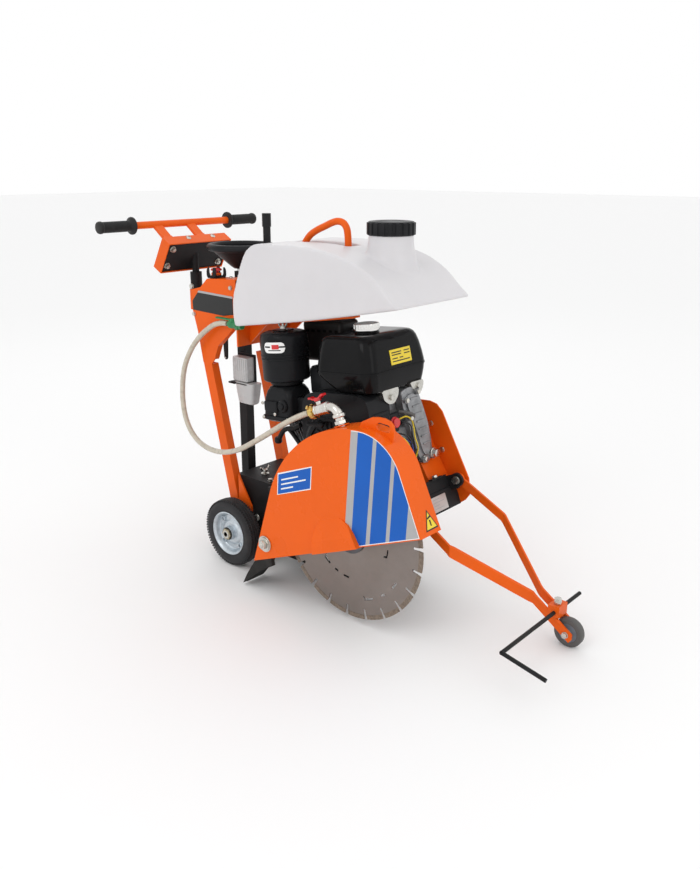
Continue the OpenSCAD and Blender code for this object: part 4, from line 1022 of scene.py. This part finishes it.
def throttle():
    """The throttle lever: round bosses joined by a tapering arm."""
    lever = Build()
    arm = [(-461, 640), (-459, 646), (-452, 649.5), (-445, 646), (-443, 640), (-446, 584), (-448, 579),
            (-452, 577), (-456, 579), (-458, 584)]
    lever.prism(filleted(arm, 3, 3), -57, -52, 1, 2)
    lever.rod((-452, -59.5, 640), (-452, -50, 640), 6.5, 24, 0.6)
    lever.done("throttle_arm", "plastic", "throttle", "black_plastic", stand_for=["throttle_lever"])
    pin = Build().rod((-452, -58.3, 583), (-452, -50.8, 583), 2.6, 16)
    pin.done("throttle_pin", "zinc", "throttle", "zinc")


def tool_holder():
    """A holder on the column for a tool box, with a cup under it."""
    bracket = Build().box((-412, -44, 522), (-408, -12, 604), 1.5, 1)
    bracket.box((-412, -76, 518), (-344, -72, 524), 1.2, 1)
    bracket.box((-412, -44, 520), (-340, -40, 604), 1.2, 1)
    bracket.box((-424, -76, 516), (-396, -40, 521), 1.2, 1)
    bracket.done("holder_bracket", "plastic", "carriage", "black_plastic")
    case = Build()
    lean = spot((-377, -56, 526))
    case.loft([(-30, -15, 30, 14, 4, 2), (-31, -16, 31, 15, 5, 10), (-31, -16, 31, 15, 5, 64),
            (-30, -15, 30, 14, 4, 70.5)], 4, lean)
    for i in range(7):
        case.box((-27 + 8.4 * i, -17.6, 5), (-23.6 + 8.4 * i, -15, 66), 0.8, 1, lean)
    case.done("holder_case", "cup", "carriage", "grey_plastic", stand_for=["tool_box"])
    lower = Build()
    cup = spot((-358, -57, 463))
    lower.loft([(-28, -12, 28, 12, 9, 0), (-32, -16, 32, 16, 11, 4), (-36, -18, 36, 18, 11, 30),
            (-39, -19, 39, 18.6, 10, 56), (-40, -19, 40, 19, 10, 58), (-40, -19, 40, 19, 10, 62)], 5, cup)
    lower.done("holder_cup", "cup", "carriage", "grey_plastic")


def tap():
    """The tap's body and collar, and the spindle of its wing."""
    body = Build()
    side = spot((0, -132, 705), "Y", 90)
    body.lathe([(0, -347), (7.5, -347), (7.5, -343), (10.5, -342), (11.5, -340), (11.5, -330), (10, -328),
            (10, -318), (12, -316), (12, -303), (10, -301), (10, -292), (0, -292)], 28, side)
    body.nut((-316, -132, 705), (1, 0, 0), 24, 12, 1.2)
    body.rod((-328, -132, 709), (-328, -132, 712.8), 6, 20)
    body.done("tap_body", "green", "carriage", "green_plastic", stand_for=["water_tap"])


def handlebar_details():
    for s, name in ((-1, "right"), (1, "left")):
        grip = Build()
        at = spot((-691, 0, 953), "X", -90 * s)
        prof = [(10.9, 176.5), (22, 176.5), (24.6, 178), (25, 180.5), (24.6, 183), (22, 185), (17.5, 186.5),
                (15.6, 189)]
        z = 192
        while z < 276:
            prof += [(14.6, z), (14.6, z + 1.2), (15.5, z + 1.8), (15.5, z + 3.6)]
            z += 4.2
        prof += [(14.8, 278), (15.5, 281), (17.2, 282.5), (17.4, 287), (16, 291), (12, 293), (0, 293)]
        grip.lathe(prof, 48, at)
        grip.done("grip_" + name, "rubber", "handlebar_set", "grip_rubber",
                stand_for=["handlebar_grips"] if s < 0 else ())
    bolts = Build(TRAY)
    for y in (-30, 62):
        bolts.button((12, y, 0), (0, 0, 1), 8)
    for y, z in ((-97, -20), (-100, -76), (94, -79), (94, -20)):
        bolts.rod((33.1, y, z), (34.4, y, z), 9.5, 28, 0.4)
        bolts.nut((34.4, y, z), (1, 0, 0), 13, 6.5, 0.8)
        bolts.rod((40, y, z), (44, y, z), 3.6, 14, 0.4)
    bolts.done("tray_bolts", "zinc", "handlebar_set", "zinc")
    Build().bolt((-637, -17.3, 770), (0, -1, 0), 8).done("post_screw", "zinc", "carriage", "zinc")


def rating_plate():
    Build(CH).box((599.8, 26, -74), (600.9, 88, -34), 0.3, 1).done("rating_plate", "plate", "chassis")
    lines = Build(CH)
    for y0, y1, z in ((30, 60, -42), (30, 76, -50), (30, 54, -58), (30, 70, -66)):
        lines.box((600.8, y0, z), (601.1, y1, z + 1.6), 0, 1)
    lines.done("rating_plate_lines", "stripe_grey", "chassis")


def frame_bolts():
    bolts = Build(CH)
    for u, w in ((577, 149), (589, 73), (573, -15)):
        bolts.bolt((u, 143.1, w), (0, -1, 0), 8)
    for u, w in ((470, 205), (430, 120), (430, 20)):
        bolts.bolt((u, 147.1, w), (0, 1, 0), 8)
    bolts.bolt((597.4, 70, 12.5), (0, 0, 1), 8)
    bolts.bolt((88, -127, 23), (0, -1, 0), 10)
    bolts.bolt((625, -114, -12), (0, -1, 0), 11)
    bolts.bolt((625, 118, -12), (0, -1, 0), 11)
    slope = rad(BED_TILT)
    for u in (190, 300, 420):
        bolts.bolt((u, -100, 102.2 - (u - 160) * math.tan(slope)), (math.sin(slope), 0, math.cos(slope)), 9)
    bolts.bolt((560, -80, -25), (0, 0, 1), 9)
    bolts.bolt((560, 90, -25), (0, 0, 1), 9)
    bolts.done("frame_bolts", "zinc", "chassis", "zinc")
    upstand = Build(CH).box((591.5, 20, -28), (597, 118, 9), 0.8, 2)
    upstand.box((591.5, 48, 7.6), (604, 92, 12.4), 0.8, 2)
    upstand.done("front_upstand", "black", "chassis")


def carriage_bolts():
    bolts = Build().rod((-318, -40, 250), (-318, -40, 254), 12, 28, 0.6)
    bolts.rod((-318, -40, 254), (-318, -40, 268), 4, 18)
    bolts.lathe([(0, 258), (9, 258), (10, 260), (9, 266), (4, 268), (0, 268)], 24, spot((-318, -40, 0)))
    for s in (-1, 1):
        bolts.tube(smooth_path([(-318, -40 + 6 * s, 262), (-318, -40 + 13 * s, 267),
                (-318, -40 + 17 * s, 274)], 4), 3, 10)
    for y in (-70, 70):
        bolts.bolt((-265, y, 250), (0, 0, 1), 8)
    bolts.done("carriage_bolts", "zinc", "carriage", "zinc")


def pointer_details():
    bolts = Build()
    for y, s in ((44, -1), (88, 1)):
        bolts.rod((625, y, 37.5), (625, y + 1.4 * s, 37.5), 8.4, 24, 0.3)
        bolts.nut((625, y + 1.4 * s, 37.5), (0, s, 0), 13, 5.5, 0.9)
    bolts.done("pointer_bolts", "zinc", "pointer", "zinc")
    tyre = Build()
    at = spot((625, 56, 37.5), "X", -90)
    tyre.lathe([(24, 0.5), (33, 0), (36, 1.2), (37.5, 4), (37.5, 16), (36, 18.8), (33, 20), (24, 19.5)], 64,
            at)
    tyre.done("pointer_tyre", "grey_rubber", "pointer_roller", "grey_rubber", stand_for=["pointer_wheel"])
    hub = Build().lathe([(5.1, -0.6), (9, -0.6), (10, 2), (20, 3.5), (24.2, 1.2), (24.2, 18.8), (20, 16.5),
            (10, 18), (9, 20.6), (5.1, 20.6)], 48, at)
    hub.done("pointer_hub", "hub_grey", "pointer_roller", "grey_rubber")
    knob = Build().rod((592, 61, 91.4), (592, 61, 108), 4, 20)
    knob.nut((592, 61, 103.6), (0, 0, 1), 15, 6, 0.9)
    knob.nut((592, 61, 110.4), (0, 0, 1), 16, 9, 1.2, 0.1032)
    knob.rod((592, 61, 109.4), (592, 61, 111), 9.4, 24, 0.3)
    knob.done("clamp_knob", "zinc", "pointer_screw", "zinc", stand_for=["pointer_clamp"])


# ---------------------------------------------------------------- blade
SLOTS = 22
SLOT_W = 7.0
BLADE_Y = 195


def blade_cuts():
    """All that is cut out of the disc; outlines lie in X and Z, and turning about Y carries them round."""
    cut = Build(SPIN)
    through = (-BLADE_Y - 3, -BLADE_Y + 3)
    half = SLOT_W / 2
    for i in range(SLOTS):
        key = [(201, -half), (219, -half), (219, half), (201, half)] + arc(201, 0, half + 0.4, 110, 250, 7)
        cut.prism(key, *through, local=turned("Y", -360 * i / SLOTS))
    cut.prism(arc(0, 0, 12.7, 0, 351, 39), *through)
    # narrow laser-cut slots, the same six every third of a turn; two of them end in a short hook
    for ring, phase, span, hooked in ((171, -96, 10.5, True), (171, -76, 5.3, False), (171, -60, 8, False),
            (120, -156.5, 11, True), (120, -136.5, 5.6, False), (120, -122, 9, False)):
        for start in (phase, phase + 120, phase + 240):
            stop = start + span
            cut.prism(arc(0, 0, ring + 2.8, start, stop, 4) + arc(0, 0, ring - 2.8, stop, start, 4), *through)
            if hooked:
                w = math.degrees(5.4 / ring)
                hook = ((2.6, 0.05), (2.6, w), (-9, w * 0.4), (-9, -w * 0.6))
                cut.prism([polar(ring + d, start + t) for d, t in hook], *through)
    return cut


def blade():
    disc = Build(SPIN).prism(arc(0, 0, 215, 0, 358, 179), -BLADE_Y - 1.4, -BLADE_Y + 1.4)
    core, cuts = [put("raw", b.mesh(), smooth=False) for b in (disc, blade_cuts())]
    boolean(core, cuts, "DIFFERENCE", overlaps=True)
    attach(put("disc", baked(core, [cuts]), "blade", smooth=False), "blade", ["blade_core"])
    rim = Build(SPIN)
    pitch = 360 / SLOTS
    for i in range(SLOTS):
        near, far = i * pitch + 1.05, (i + 1) * pitch - 1.05
        outline = arc(0, 0, 213.4, -near, -far, 2) + arc(0, 0, 225, 0.35 - far, -0.35 - near, 4)
        rim.prism(outline, -BLADE_Y - 1.9, -BLADE_Y + 1.9, 0.5, 1)
    rim.done("segments", "segment", "blade", "segment", stand_for=["blade_segments"])
    flanges = Build(SPIN)
    shape = ((12.8, 1.7), (48, 1.7), (50, 3), (50, 6), (46, 9.5), (24, 11.4), (12.8, 11.4), (12.8, 1.7))
    for s in (1, -1):
        flanges.lathe([(r, BLADE_Y + s * z) for r, z in shape], 64, turned("X", 90))
    flanges.nut((0, -206.4, 0), (0, -1, 0), 31, 13.2, 1.8)
    flanges.done("flanges", "cast", "blade", "cast", stand_for=["blade_clamp"])


# ---------------------------------------------------------------- main
MATS = make_materials()
ground_in_circles(MATS["blade"], "Y", 0.7)
camera()
stage()
water_hose()
tank()
tank_cap()
lift_tube()
for side, name in ((-1, "right"), (1, "left")):
    rear_wheel(side, name)
    front_wheel(side, name)
for make in (decals, warning_triangle, guard_pivot, water_elbow, ball_valve, petrol_tank, crankcase,
        intake_and_brackets, fan_housing, wiring, air_cleaner, silencer, cable_fork, console_trim,
        stop_button, throttle, tool_holder, tap, handlebar_details, rating_plate, frame_bolts, carriage_bolts,
        pointer_details, blade):
    make()

# the CAD parts that are seen as they are; the others have a piece in their place
PAINTED = {
    "black": ("undercarriage", "depth_column", "handlebar_post", "chassis_frame", "engine_bed",
              "spindle_housing", "pointer_rod"),
    "zinc": ("rear_axle", "front_axle", "lift_rod"),
    "orange": ("leg_right", "leg_left", "console", "handlebar_tray", "handlebar", "tank_cradle",
               "belt_cover", "belt_backplate", "pointer_arm"),
    "rubber": ("drive_belt",),
    "guard": ("blade_guard",),
    "mat_rubber": ("guard_flap",),
    "rod": ("blade_spindle", "crankshaft", "depth_screw"),
    "cast": ("spindle_pulley", "engine_pulley"),
    "plastic": ("handwheel", "handwheel_knob"),
    "green": ("tap_lever",),
}
for look, names in PAINTED.items():
    for name in names:
        paint(name, look)
